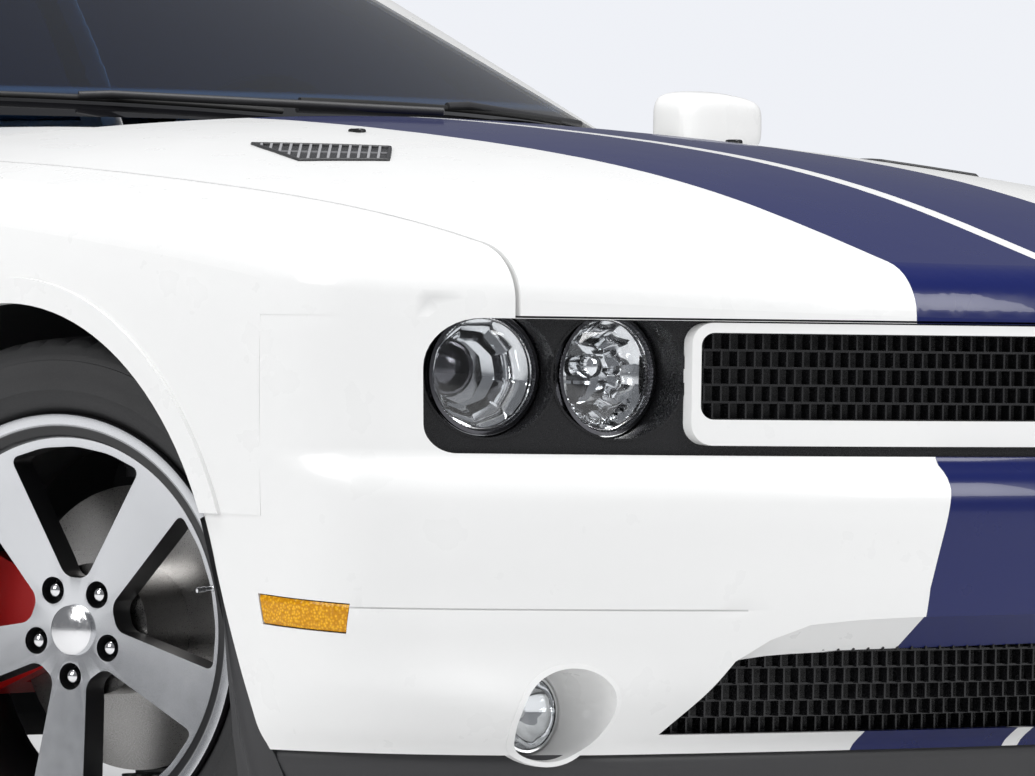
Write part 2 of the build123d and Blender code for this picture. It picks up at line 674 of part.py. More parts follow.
def tyre():
    """Tyre about the Y axis."""
    half = TYRE_W / 2
    bead = RIM_R + SEAT_GAP
    right = [
        Line((bead, -half + 24), (bead, half - 24)),
        Line((bead, half - 24), (FLANGE_R + 4, half - 12)),
        ThreePointArc((FLANGE_R + 4, half - 12), ((FLANGE_R + TYRE_R) / 2, half), (TYRE_R - 14, half - 12)),
        ThreePointArc((TYRE_R - 14, half - 12), (TYRE_R - 6, half - 20), (TYRE_R - 3, half - 32)),
        ThreePointArc((TYRE_R - 3, half - 32), (TYRE_R, 0), (TYRE_R - 3, -half + 32)),
        ThreePointArc((TYRE_R - 3, -half + 32), (TYRE_R - 6, -half + 20), (TYRE_R - 14, -half + 12)),
        ThreePointArc((TYRE_R - 14, -half + 12), ((FLANGE_R + TYRE_R) / 2, -half), (FLANGE_R + 4, -half + 12)),
        Line((FLANGE_R + 4, -half + 12), (bead, -half + 24)),
    ]
    return revolve(make_face(Wire([e.edge() for e in right])), Axis.Y)


def rim():
    """Five-spoke rim about the Y axis, with its face towards -Y."""
    half = RIM_W / 2
    barrel = make_face(Polyline(
        (FLANGE_R, -half - 5), (FLANGE_R, -half + 3), (RIM_R, -half + 8), (RIM_R, -half + 30),
        (RIM_R - 22, -half + 52), (RIM_R - 22, half - 60), (RIM_R, half - 36), (RIM_R, half - 8),
        (FLANGE_R, half - 3), (FLANGE_R, half + 5), (FLANGE_R - 8, half + 5), (RIM_R - 14, half - 12),
        (RIM_R - 16, half - 34), (RIM_R - 32, half - 58), (RIM_R - 32, -half + 50), (RIM_R - 18, -half + 26),
        (RIM_R - 18, -half - 1), (FLANGE_R - 8, -half - 5), close=True))
    wheel = revolve(barrel, Axis.Y)
    face_y = -half - 5 + FACE_SET
    hub_y = -HUB_FACE_Y
    web = make_face(Polyline(
        (0, hub_y), (HUB_R, hub_y), (RIM_R - 20, face_y), (RIM_R - 10, face_y + 4), (RIM_R - 24, face_y + 34),
        (HUB_R, hub_y + SPOKE_T), (0, hub_y + SPOKE_T), close=True))
    web = revolve(web, Axis.Y)
    plan = Circle(HUB_R)
    for i in range(SPOKES):
        wedge = make_face(Polyline(
            (0, -SPOKE_ROOT_W / 2), (RIM_R, -SPOKE_TIP_W / 2), (RIM_R, SPOKE_TIP_W / 2), (0, SPOKE_ROOT_W / 2),
            close=True))
        plan += Rot(0, 0, SPOKE_PHASE + i * 360 / SPOKES) * wedge
    plan = plan & Circle(RIM_R - 12)
    star = extrude(Plane.XZ * plan, amount=200, both=True)
    wheel = wheel + (web & star)
    wheel = wheel - Rot(90, 0, 0) * Cylinder(SPINDLE_R + SEAT_GAP, 60)
    holes = [Rot(0, -(SPOKE_PHASE + i * 360 / LUGS), 0) * Pos(LUG_PCD / 2, hub_y, 0) * Rot(90, 0, 0)
             for i in range(LUGS)]
    for h in holes:
        wheel = wheel - h * Cylinder(LUG_R + 5, 36)
    for h in holes:
        wheel = wheel + h * Pos(0, 0, -10) * extrude(RegularPolygon(LUG_R, 6), amount=20, both=True)
    cap = Pos(0, hub_y, 0) * Rot(90, 0, 0) * Cylinder(CAP_R, 8)
    return wheel + cap


def disc():
    """Brake disc with its hat, about the Y axis."""
    profile = make_face(Polyline(
        (SPINDLE_R + SEAT_GAP, HAT_FACE_Y), (DISC_HAT_R, HAT_FACE_Y), (DISC_HAT_R, DISC_Y_IN),
        (DISC_R, DISC_Y_IN), (DISC_R, DISC_Y_IN + DISC_T), (DISC_HAT_R - 9, DISC_Y_IN + DISC_T),
        (DISC_HAT_R - 9, HAT_FACE_Y + 9), (SPINDLE_R + SEAT_GAP, HAT_FACE_Y + 9), close=True))
    return revolve(profile, Axis.Y)


def caliper():
    """Brake caliper that straddles the disc, before it is turned to its place."""
    ring = Rot(90, 0, 0) * (Cylinder(CALIPER_R, CALIPER_W) - Cylinder(CALIPER_IN_R, CALIPER_W))
    ring = Pos(0, DISC_Y_IN + DISC_T / 2, 0) * ring
    sector = make_face(Polyline((0, 0), (400, -400 * tan(radians(CALIPER_HALF_DEG))),
                                (400, 400 * tan(radians(CALIPER_HALF_DEG))), close=True))
    ring = ring & extrude(Plane.XZ * sector, amount=200, both=True)
    slot = Pos(0, DISC_Y_IN + DISC_T / 2, 0) * Rot(90, 0, 0) * Cylinder(DISC_R + 5, DISC_T + 10)
    return ring - slot




def upright():
    """Hub carrier with spindle and caliper, for a wheel whose face is towards -Y."""
    kingpin = HALF_TRACK - KINGPIN_Y
    back = DISC_Y_IN + DISC_T + CARRIER_GAP
    length = back + 10 - HAT_FACE_Y - 4
    spindle = Pos(0, back + 10 - length / 2, 0) * Rot(90, 0, 0) * Cylinder(SPINDLE_R, length)
    flange = Pos(0, back + CARRIER_T / 2, 0) * Rot(90, 0, 0) * Cylinder(CARRIER_R, CARRIER_T)
    low = ARM_Z0 + ARM_T + SEAT_GAP - TYRE_R
    high = UPPER_ARM_Z - SEAT_GAP - TYRE_R
    post = block((-26, 26), (back, back + CARRIER_T), (low, high))
    boss_low = Pos(0, kingpin, low + BALL_FOOT_T / 2) * Cylinder(ARM_BOSS_R - 6, BALL_FOOT_T)
    boss_high = Pos(0, kingpin, high - BALL_FOOT_T / 2) * Cylinder(ARM_BOSS_R - 6, BALL_FOOT_T)
    foot = block((-22, 22), (kingpin, back + CARRIER_T), (low, low + BALL_FOOT_T))
    head = block((-22, 22), (kingpin, back + CARRIER_T), (high - BALL_FOOT_T, high))
    bracket = block((-CALIPER_IN_R - 40, 0), (back, back + CARRIER_T - 6), (-40, 40))
    body = spindle + flange + post + boss_low + boss_high + foot + head + bracket
    return body + Rot(0, 180, 0) * caliper()


def at_corner(shape, axle_x, s, turn=0.0):
    """Put a shape made for the right wheel at a corner, turned about its kingpin."""
    placed = Pos(0, -HALF_TRACK, TYRE_R) * shape
    if s > 0:
        placed = mirror(placed, about=Plane.XZ)
    pivot = Pos(0, s * KINGPIN_Y, 0)
    return Pos(axle_x, 0, 0) * pivot * Rot(0, 0, turn) * pivot.inverse() * placed


def corners():
    """Wheels, tyres, discs and knuckles at the four corners."""
    shapes = {"rim": rim(), "tyre": tyre(), "disc": disc()}
    carrier = upright()
    for end, axle_x, turn in (("front", FRONT_AXLE_X, STEER_REST), ("rear", REAR_AXLE_X, 0.0)):
        for side, s in (("left", 1), ("right", -1)):
            for name, shape in shapes.items():
                parts[name + "_" + end + "_" + side] = at_corner(shape, axle_x, s, turn)
            parts["knuckle_" + end + "_" + side] = at_corner(carrier, axle_x, s, turn)


def suspension(axle_x, name):
    """Cross member, control arms and dampers of one axle."""
    beam = block((axle_x - 90, axle_x + 90), (-ARM_IN_Y, ARM_IN_Y), (BEAM_Z0, BEAM_Z1))
    whole = beam
    for s in (1, -1):
        reach = sorted((s * (ARM_IN_Y - 40), s * KINGPIN_Y))
        low = block((axle_x - 24, axle_x + 24), reach, (ARM_Z0, ARM_Z0 + ARM_T))
        low += Pos(axle_x, s * KINGPIN_Y, ARM_Z0 + ARM_T / 2) * Cylinder(ARM_BOSS_R, ARM_T)
        high = block((axle_x - 20, axle_x + 20), reach, (UPPER_ARM_Z, UPPER_ARM_Z + ARM_T))
        high += Pos(axle_x, s * KINGPIN_Y, UPPER_ARM_Z + ARM_T / 2) * Cylinder(ARM_BOSS_R - 4, ARM_T)
        tower = block((axle_x - 60, axle_x + 60), sorted((s * (ARM_IN_Y - 40), s * ARM_IN_Y)),
                      (BEAM_Z0, UPPER_ARM_Z + ARM_T))
        damper = Pos(axle_x, s * DAMPER_Y, ARM_Z0 + ARM_T) * Cylinder(
            DAMPER_R, DAMPER_TOP_Z - ARM_Z0 - ARM_T, align=(Align.CENTER, Align.CENTER, Align.MIN))
        whole = whole + low + tower + high + damper
    parts[name] = whole


def underside(forms):
    """Floor with firewall and bulkhead, wheel liners, engine and exhaust."""
    inner = forms["inner"]
    pan = (inner[0] + inner[1]) & x_range(-2330, 2240, FLOOR_Z, FLOOR_Z + FLOOR_T)
    for axle_x, in_y in ((FRONT_AXLE_X, LINER_IN_Y), (REAR_AXLE_X, REAR_LINER_IN_Y)):
        for s in (1, -1):
            pan -= side_block(s, in_y - LINER_T, 1100, axle_x - LINER_R - LINER_T, axle_x + LINER_R + LINER_T, 0, 400)
        pan -= block((axle_x - 95, axle_x + 95), (-800, 800), (0, 400))
    sill = x_range(REAR_AXLE_X + ARCH_R - 10, FRONT_AXLE_X - ARCH_R + 10, 0, SILL_TOP + SEAT_GAP)
    sill -= x_range_side(SILL_INNER_Y)
    pan -= sill
    for s in (1, -1):
        pan -= side_block(s, FLOOR_NOSE_Y, 1100, FLOOR_NOSE_X, 2300, 0, 400)
        (x0, x1), (y0, y1), (z0, z1) = MUFFLER
        x1, y0, y1, z1 = x1 + MUFFLER_ROOM, y0 - MUFFLER_ROOM, y1 + MUFFLER_ROOM, z1 + SEAT_GAP
        wall_t = MUFFLER_WELL_T
        pan += side_block(s, y0 - wall_t, y1 + wall_t, -2330, x1 + wall_t, FLOOR_Z, z1 + wall_t)
        pan -= side_block(s, y0, y1, -2400, x1, 0, z1)
    wall = block((FIREWALL_X, FIREWALL_X + 20), (-FIREWALL_Y, FIREWALL_Y), (FLOOR_Z + FLOOR_T, 930))
    tunnel = block((TUNNEL_REAR_X, FIREWALL_X), (-TUNNEL_Y, TUNNEL_Y), (FLOOR_Z + FLOOR_T, TUNNEL_Z))
    bulkhead = block((BULKHEAD_X - 20, BULKHEAD_X), (-LINER_IN_Y, LINER_IN_Y), (FLOOR_Z + FLOOR_T, 900))
    parts["floor_pan"] = pan + wall + tunnel + bulkhead

    liners = []
    for axle_x, in_y, out_form in ((FRONT_AXLE_X, LINER_IN_Y, 0), (REAR_AXLE_X, REAR_LINER_IN_Y, 1)):
        for s in (1, -1):
            y = sorted((s * (in_y - LINER_T), s * 1100))
            shell = arch_prism(axle_x, LINER_R + LINER_T, *y) - arch_prism(axle_x, LINER_R, *sorted((s * in_y, s * 1200)))
            shell -= arch_prism(axle_x, LINER_HOLE_R, *sorted((s * 300, s * 600)))
            shell = shell & x_range(-2700, 2700, FLOOR_Z + FLOOR_T + SEAT_GAP, 1100)
            liners.append(((shell & inner[out_form]) - sill).solid())
    parts["wheel_liners"] = Compound(children=liners)
    parts["engine"] = block(*ENGINE)

    pipes = []
    for s in (1, -1):
        muffler = side_block(s, MUFFLER[1][0], MUFFLER[1][1], *MUFFLER[0], *MUFFLER[2])
        tip = Pos(-2250, s * TIP_Y, TIP_Z) * Rot(0, -90, 0) * Cylinder(
            TIP_R, TIP_LEN, align=(Align.CENTER, Align.CENTER, Align.MIN))
        bore = Pos(-2300, s * TIP_Y, TIP_Z) * Rot(0, -90, 0) * Cylinder(
            TIP_R - 4, TIP_LEN, align=(Align.CENTER, Align.CENTER, Align.MIN))
        pipes.append(((muffler + tip) - bore).solid())
    parts["exhaust"] = Compound(children=pipes)


def seat(y, width):
    """Front bucket seat with its base, back and head rest."""
    base = block((SEAT_X - 250, SEAT_X + 250), (y - 180, y + 180), (FLOOR_Z + FLOOR_T, SEAT_Z))
    cushion = block((SEAT_X - 270, SEAT_X + 270), (y - width / 2, y + width / 2), (SEAT_Z, SEAT_Z + 130))
    cushion = fillet(cushion.edges().filter_by(Axis.Y), 40)
    back = block((-70, 70), (y - width / 2, y + width / 2), (0, 620))
    back = fillet(back.edges().filter_by(Axis.X), 60)
    rest = Pos(0, y, 700) * fillet(Box(100, 270, 170).edges(), 30)
    back = back + rest
    return base + cushion + Pos(SEAT_X - 250, 0, SEAT_Z + 60) * Rot(0, -18, 0) * back


def cabin():
    """Seats, dashboard and steering wheel."""
    parts["front_seats"] = Compound(children=[seat(s * SEAT_Y, SEAT_W).solid() for s in (1, -1)])
    bench = block((-900, -480), (-REAR_SEAT_HALF_W, REAR_SEAT_HALF_W), (FLOOR_Z + FLOOR_T, 430))
    rear_back = Pos(-860, 0, 420) * Rot(0, -22, 0) * block((-60, 60), (-REAR_SEAT_HALF_W, REAR_SEAT_HALF_W), (0, 520))
    parts["rear_seat"] = bench + rear_back
    outline = make_face(Polyline((DASH_FRONT_X, 600), (DASH_FRONT_X, 925), (700, 940), (580, 940), (DASH_X, 900),
                                 (DASH_X + 40, 720), (680, 600), close=True))
    dash = extrude(Plane.XZ * outline, amount=DASH_HALF_W, both=True)
    console = block((-150, 720), (-110, 110), (TUNNEL_Z, 560)) + block((620, 760), (-110, 110), (TUNNEL_Z, 640))
    x, y, z = STEERING_POS
    tilt = Pos(x, y, z) * Rot(0, -90 + WHEEL_AXIS_TILT, 0)
    column = tilt * Pos(0, 0, -COLUMN_GAP) * Cylinder(28, 200, align=(Align.CENTER, Align.CENTER, Align.MAX))
    parts["dashboard"] = dash + console + column
    ring = Torus(STEERING_R, STEERING_GRIP_R)
    hub = Cylinder(70, 50)
    spokes = hub
    for a in (0, 180, 270):
        spokes += Rot(0, 0, a) * block((0, STEERING_R), (-20, 20), (-9, 9))
    parts["steering_wheel"] = tilt * (Rot(0, 0, 90) * (ring + spokes))


def mirrors():
    """Door mirrors, each on a short arm from its door."""
    for name, s in (("left", 1), ("right", -1)):
        pod = Pos(MIRROR_POS[0], s * MIRROR_POS[1], MIRROR_POS[2]) * Box(110, 190, 130)
        pod = fillet(pod.edges(), 45)
        arm = side_block(s, 870, MIRROR_POS[1], MIRROR_POS[0] - 30, MIRROR_POS[0] + 30,
                         MIRROR_POS[2] - MIRROR_ARM_DROP, MIRROR_POS[2] - 40)
        parts["mirror_" + name] = (pod + arm) - parts["door_" + name]


def write_parts():
    """Write one file for each sub-part."""
    for name, shape in parts.items():
        solids = shape.solids()
        whole = solids[0] if len(solids) == 1 else Compound(children=solids)
        export_step(whole, "parts/" + name + ".step")


CARRIER_GAP = 6.0
CARRIER_T = 26.0
CARRIER_R = 62.0
DAMPER_TOP_Z = 740.0
FIREWALL_X = 905.0
FIREWALL_Y = 760.0
TUNNEL_Y = 120.0
TUNNEL_Z = 360.0
BULKHEAD_X = -1160.0
TUNNEL_REAR_X = -470.0
TIP_LEN = 200.0
DASH_HALF_W = 740.0
DASH_FRONT_X = 822.0
REAR_SEAT_HALF_W = 580.0
COLUMN_GAP = 26.0
STEERING_GRIP_R = 15.0
MIRROR_POS = (690.0, 1010.0, 1045.0)
MIRROR_ARM_DROP = 95.0

forms = body_shells()
front_panels(forms)
rear_panels(forms)
nose_details(forms)
markers(forms)
corners()
suspension(FRONT_AXLE_X, "front_suspension")
suspension(REAR_AXLE_X, "rear_suspension")
underside(forms)
cabin()
mirrors()
write_parts()
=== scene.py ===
"""Looks of the muscle coupe: paint, glass, lamps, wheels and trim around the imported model."""

import logging
import math
from dataclasses import dataclass, field
from enum import Enum
from typing import Callable, Optional, Sequence

import bmesh
import bpy
from bpy.types import Material, NodeSocket
from mathutils import Matrix, Vector
from mathutils.bvhtree import BVHTree
from mathutils.geometry import intersect_line_line_2d


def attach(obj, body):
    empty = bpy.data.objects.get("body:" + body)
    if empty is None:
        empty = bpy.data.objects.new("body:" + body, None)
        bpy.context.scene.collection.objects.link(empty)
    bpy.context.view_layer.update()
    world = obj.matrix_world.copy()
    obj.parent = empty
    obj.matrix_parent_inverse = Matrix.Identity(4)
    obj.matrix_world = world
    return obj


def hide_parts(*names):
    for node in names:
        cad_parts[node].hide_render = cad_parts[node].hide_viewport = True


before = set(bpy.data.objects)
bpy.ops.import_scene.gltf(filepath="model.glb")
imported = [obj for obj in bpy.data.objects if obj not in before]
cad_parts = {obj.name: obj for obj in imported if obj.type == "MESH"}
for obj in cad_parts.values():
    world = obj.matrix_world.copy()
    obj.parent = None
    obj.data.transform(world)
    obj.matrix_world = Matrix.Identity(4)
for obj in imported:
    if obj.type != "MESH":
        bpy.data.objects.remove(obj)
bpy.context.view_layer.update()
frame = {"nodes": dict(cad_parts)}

log = logging.getLogger("coupe")

Pair = tuple[float, float]
Triple = tuple[float, float, float]
Colour = Triple
Looks = dict[str, Material]


class Side(Enum):
    """Side of the car, with the sign of its Y coordinate."""

    LEFT = 1
    RIGHT = -1

    @property
    def word(self) -> str:
        """Lower-case word used in node names."""
        return self.name.lower()


def shaded(colour: Colour, factor: float) -> Colour:
    """Colour made darker or lighter, at most white."""
    return tuple(min(1.0, c * factor) for c in colour)


class Graph:
    """Small helper that adds nodes to one material and links them."""

    def __init__(self, name: str) -> None:
        """Start an empty material graph.

        Args:
            name: name of the material.
        """
        self.material = bpy.data.materials.new(name)
        self.material.use_nodes = True
        self.tree = self.material.node_tree
        self.tree.nodes.clear()
        self.out = self.tree.nodes.new("ShaderNodeOutputMaterial")
        self.shader = self.tree.nodes.new("ShaderNodeBsdfPrincipled")
        self.tree.links.new(self.shader.outputs["BSDF"], self.out.inputs["Surface"])
        self._coords = None

    def node(self, kind: str, **settings: object) -> bpy.types.Node:
        """Add a node and set its attributes.

        Args:
            kind: Blender's name of the node, without its prefix.
            **settings: attributes of the node.

        Returns:
            The node.
        """
        made = self.tree.nodes.new("ShaderNode" + kind)
        for key, value in settings.items():
            setattr(made, key, value)
        return made

    def link(self, a: NodeSocket, b: NodeSocket) -> None:
        """Link an output to an input."""
        self.tree.links.new(a, b)

    def coords(self, which: str = "Object") -> NodeSocket:
        """Texture coordinates of the piece itself.

        Args:
            which: name of the output.

        Returns:
            The output.
        """
        if self._coords is None:
            self._coords = self.node("TexCoord")
        return self._coords.outputs[which]

    def maths(self, operation: str, a: object, b: object = 0.0) -> NodeSocket:
        """Add a maths node whose inputs are sockets or numbers.

        Args:
            operation: Blender's name of the operation.
            a: first input, a socket or a number.
            b: second input, a socket or a number.

        Returns:
            The node's output.
        """
        made = self.node("Math", operation=operation)
        for slot, value in zip(made.inputs, (a, b)):
            if isinstance(value, (int, float)):
                slot.default_value = value
            else:
                self.link(value, slot)
        return made.outputs[0]

    def vector(self, operation: str, a: NodeSocket, b: Triple = (0.0, 0.0, 0.0)) -> NodeSocket:
        """Add a vector maths node of a socket and a constant.

        Args:
            operation: Blender's name of the operation.
            a: vector that goes in.
            b: constant of the second input.

        Returns:
            The vector output of a difference, else the value output.
        """
        made = self.node("VectorMath", operation=operation)
        self.link(a, made.inputs[0])
        made.inputs[1].default_value = b
        return made.outputs["Vector" if operation == "SUBTRACT" else "Value"]

    def axes(self) -> Sequence[NodeSocket]:
        """X, Y and Z of the piece's own coordinates.

        Returns:
            The three outputs.
        """
        split = self.node("SeparateXYZ")
        self.link(self.coords(), split.inputs[0])
        return split.outputs

    def noise(self, scale: float, detail: float = 3.0,
              stretch: Optional[Sequence[float]] = None) -> NodeSocket:
        """Noise in the piece's own metres.

        Args:
            scale: repeats for each metre.
            detail: octaves.
            stretch: optional factors along X, Y and Z.

        Returns:
            The noise's value, about 0.5 on average.
        """
        made = self.node("TexNoise")
        made.inputs["Scale"].default_value = scale
        made.inputs["Detail"].default_value = detail
        place = self.node("Mapping")
        self.link(self.coords(), place.inputs["Vector"])
        if stretch is not None:
            place.inputs["Scale"].default_value = stretch
        self.link(place.outputs[0], made.inputs["Vector"])
        return made.outputs[0]

    def ramp(self, value: NodeSocket, low: float, high: float, to_low: float,
             to_high: float) -> NodeSocket:
        """Map a value from one range to another, clamped.

        Args:
            value: value that goes in.
            low: where the first range starts.
            high: where the first range ends.
            to_low: result at the start.
            to_high: result at the end.

        Returns:
            The node's output.
        """
        made = self.node("MapRange")
        self.link(value, made.inputs["Value"])
        made.inputs["From Min"].default_value = low
        made.inputs["From Max"].default_value = high
        made.inputs["To Min"].default_value = to_low
        made.inputs["To Max"].default_value = to_high
        return made.outputs[0]

    def mix(self, share: object, a: object, b: object) -> NodeSocket:
        """Mix two colours, each a socket or a colour.

        Args:
            share: share of the second colour, a socket or a number.
            a: first colour.
            b: second colour.

        Returns:
            The node's output.
        """
        made = self.node("Mix", data_type="RGBA")
        for slot, value in ((made.inputs[0], share), (made.inputs[6], a), (made.inputs[7], b)):
            if isinstance(value, (int, float)):
                slot.default_value = value
            elif isinstance(value, tuple):
                slot.default_value = (*value, 1.0)
            else:
                self.link(value, slot)
        return made.outputs[2]

    def bump(self, height: NodeSocket, strength: float, distance: float) -> NodeSocket:
        """Add a bump.

        Args:
            height: height of the relief from 0 to 1.
            strength: share of the bump.
            distance: depth of the relief in metres.

        Returns:
            The new normal.
        """
        made = self.node("Bump")
        made.inputs["Strength"].default_value = strength
        made.inputs["Distance"].default_value = distance
        self.link(height, made.inputs["Height"])
        return made.outputs[0]

    def set(self, **values: object) -> None:
        """Set shader inputs from sockets or plain values.

        Args:
            **values: inputs by name, in lower case with underscores.
        """
        for key, value in values.items():
            slot = self.shader.inputs[key.replace("_", " ").title().replace("Ior", "IOR")]
            if isinstance(value, NodeSocket):
                self.link(value, slot)
            elif isinstance(value, tuple) and len(value) == 3:
                slot.default_value = (*value, 1.0)
            else:
                slot.default_value = value


@dataclass(frozen=True)
class Finish:
    """A finish with fine variation in colour, gloss and relief.

    Attributes:
        name: material name.
        colour: base colour.
        rough: mean roughness.
        metal: metalness.
        vary: share by which colour varies.
        rough_vary: amount by which roughness varies.
        grain: repeats of the relief for each metre.
        relief: relief depth in metres.
        coat: clear coat weight.
        stretch: stretch of the grain along X, Y and Z.
        sheen: cloth sheen weight.
    """

    name: str
    colour: Colour
    rough: float = 0.4
    metal: float = 0.0
    vary: float = 0.06
    rough_vary: float = 0.06
    grain: float = 400.0
    relief: float = 0.00005
    coat: float = 0.0
    stretch: Triple = (1.0, 1.0, 1.0)
    sheen: float = 0.0

    def build(self) -> Material:
        """Make the material.

        Returns:
            The material.
        """
        g = Graph(self.name)
        cloud = g.noise(9.0, 4.0, self.stretch)
        dark, light = (shaded(self.colour, 1 + sign * self.vary) for sign in (-1, 1))
        g.set(base_color=g.mix(cloud, dark, light), metallic=self.metal)
        fine = g.noise(self.grain, 3.0, self.stretch)
        low, high = max(0.02, self.rough - self.rough_vary), min(1.0, self.rough + self.rough_vary)
        g.set(roughness=g.ramp(fine, 0.3, 0.7, low, high))
        g.set(normal=g.bump(fine, 0.5, self.relief))
        g.set(coat_weight=self.coat, coat_roughness=0.04, sheen_weight=self.sheen)
        return g.material


@dataclass(frozen=True)
class BodyPaint:
    """Clear-coated solid paint, with or without the two long stripes; the striped paint also darkens a thin
    line as painted shade in the bumper's crease.

    Attributes:
        name: material name.
        white: base colour.
        blue: stripe colour.
        outer: half width from the centre line to the stripes' outer edges, in metres.
        gap: half width of the bare strip between the stripes, in metres.
        striped: whether the stripes are on this panel.
        pinch: how much narrower the stripes are on the bumper.
        bumper: X behind, height below, and the two heights between which the stripes narrow there.
        crease: height of the fine line across the bumper's ends, where a thin darker line is painted as shade
            in that crease.
        crease_from: distance from the middle and X where that line starts.
    """

    name: str
    white: Colour = (0.80, 0.80, 0.79)
    blue: Colour = (0.003, 0.008, 0.080)
    outer: float = 0.268
    gap: float = 0.0135
    striped: bool = False
    pinch: float = 0.026
    bumper: tuple[float, float, float, float] = (2.2, 0.6, 0.44, 0.56)
    crease: float = 0.4135
    crease_from: Pair = (0.50, 2.15)

    def build(self) -> Material:
        """Make the material.

        Returns:
            The material.
        """
        g = Graph(self.name)
        cloud = g.noise(2.5, 2.0)
        base = g.mix(cloud, shaded(self.white, 0.985), self.white)
        if self.striped:
            x, y, z = g.axes()
            away = g.maths("ABSOLUTE", y)
            behind, below, narrow_from, narrow_to = self.bumper
            bumper = g.maths("MULTIPLY", g.maths("GREATER_THAN", x, behind), g.maths("LESS_THAN", z, below))
            slope = g.ramp(z, narrow_from, narrow_to, self.pinch * 0.2, self.pinch)
            pinch = g.maths("MULTIPLY", bumper, slope)
            inside = g.maths("LESS_THAN", away, g.maths("SUBTRACT", self.outer, pinch))
            band = g.maths("MULTIPLY", inside, g.maths("GREATER_THAN", away, self.gap))
            flake = g.noise(2600.0, 1.0)
            base = g.mix(band, base, g.mix(flake, shaded(self.blue, 0.7), shaded(self.blue, 1.35)))
            # Painted shade: a thin line at the crease height across the bumper's ends, darkened 30% towards
            # near black.
            off = g.maths("ABSOLUTE", g.maths("SUBTRACT", z, self.crease))
            side, ahead = self.crease_from
            ends = g.maths("MULTIPLY", g.maths("GREATER_THAN", away, side), g.maths("GREATER_THAN", x, ahead))
            line = g.maths("MULTIPLY", g.ramp(off, 0.0005, 0.0016, 1.0, 0.0), ends)
            base = g.mix(g.maths("MULTIPLY", line, 0.3), base, (0.05, 0.05, 0.055))
        g.set(base_color=base)
        peel = g.noise(150.0, 2.0)
        g.set(roughness=g.ramp(g.noise(14.0, 4.0), 0.3, 0.7, 0.27, 0.29))
        g.set(coat_weight=0.3, coat_roughness=0.02, specular_ior_level=0.25)
        g.set(coat_normal=g.bump(peel, 0.03, 0.00003))
        return g.material


@dataclass(frozen=True)
class Pane:
    """Tinted glass.

    Attributes:
        name: material name.
        tint: colour of the light that passes.
        rough: roughness.
    """

    name: str
    tint: Colour
    rough: float = 0.0

    def build(self) -> Material:
        """Make the material.

        Returns:
            The material.
        """
        g = Graph(self.name)
        g.set(base_color=g.mix(g.noise(3.0, 2.0), shaded(self.tint, 0.94), self.tint))
        g.set(transmission_weight=1.0, ior=1.45)
        g.set(roughness=g.ramp(g.noise(30.0, 3.0), 0.45, 0.75, self.rough, self.rough + 0.02))
        return g.material


@dataclass(frozen=True)
class WheelAlloy:
    """Machined silver on faces that look outwards, black paint in the pockets.

    Attributes:
        name: material name.
        centre: wheel centre in metres.
        axis: unit vector out of the wheel's face.
        face: distance outside the centre beyond which faces are machined.
        silver: colour of the machined faces.
        black: colour of the pockets.
    """

    name: str
    centre: Triple
    axis: Triple
    face: float = 0.072
    silver: Colour = (0.68, 0.69, 0.71)
    black: Colour = (0.012, 0.012, 0.013)

    def build(self) -> Material:
        """Make the material.

        Returns:
            The material.
        """
        g = Graph(self.name)
        facing = g.ramp(g.vector("DOT_PRODUCT", g.coords("Normal"), self.axis), 0.955, 0.975, 0.0, 1.0)
        offset = g.vector("SUBTRACT", g.coords(), self.centre)
        outside = g.maths("GREATER_THAN", g.vector("DOT_PRODUCT", offset, self.axis), self.face)
        face = g.maths("MULTIPLY", facing, outside)
        rings = g.maths("SINE", g.maths("MULTIPLY", g.vector("LENGTH", offset), 9000.0))
        wear = g.noise(60.0, 4.0)
        silver = g.mix(wear, shaded(self.silver, 0.9), self.silver)
        g.set(base_color=g.mix(face, self.black, silver), metallic=face)
        g.set(roughness=g.mix(face, (0.32, 0.32, 0.32), g.mix(wear, (0.2, 0.2, 0.2), (0.27, 0.27, 0.27))))
        g.set(normal=g.bump(g.maths("MULTIPLY", rings, face), 0.08, 0.00003))
        return g.material


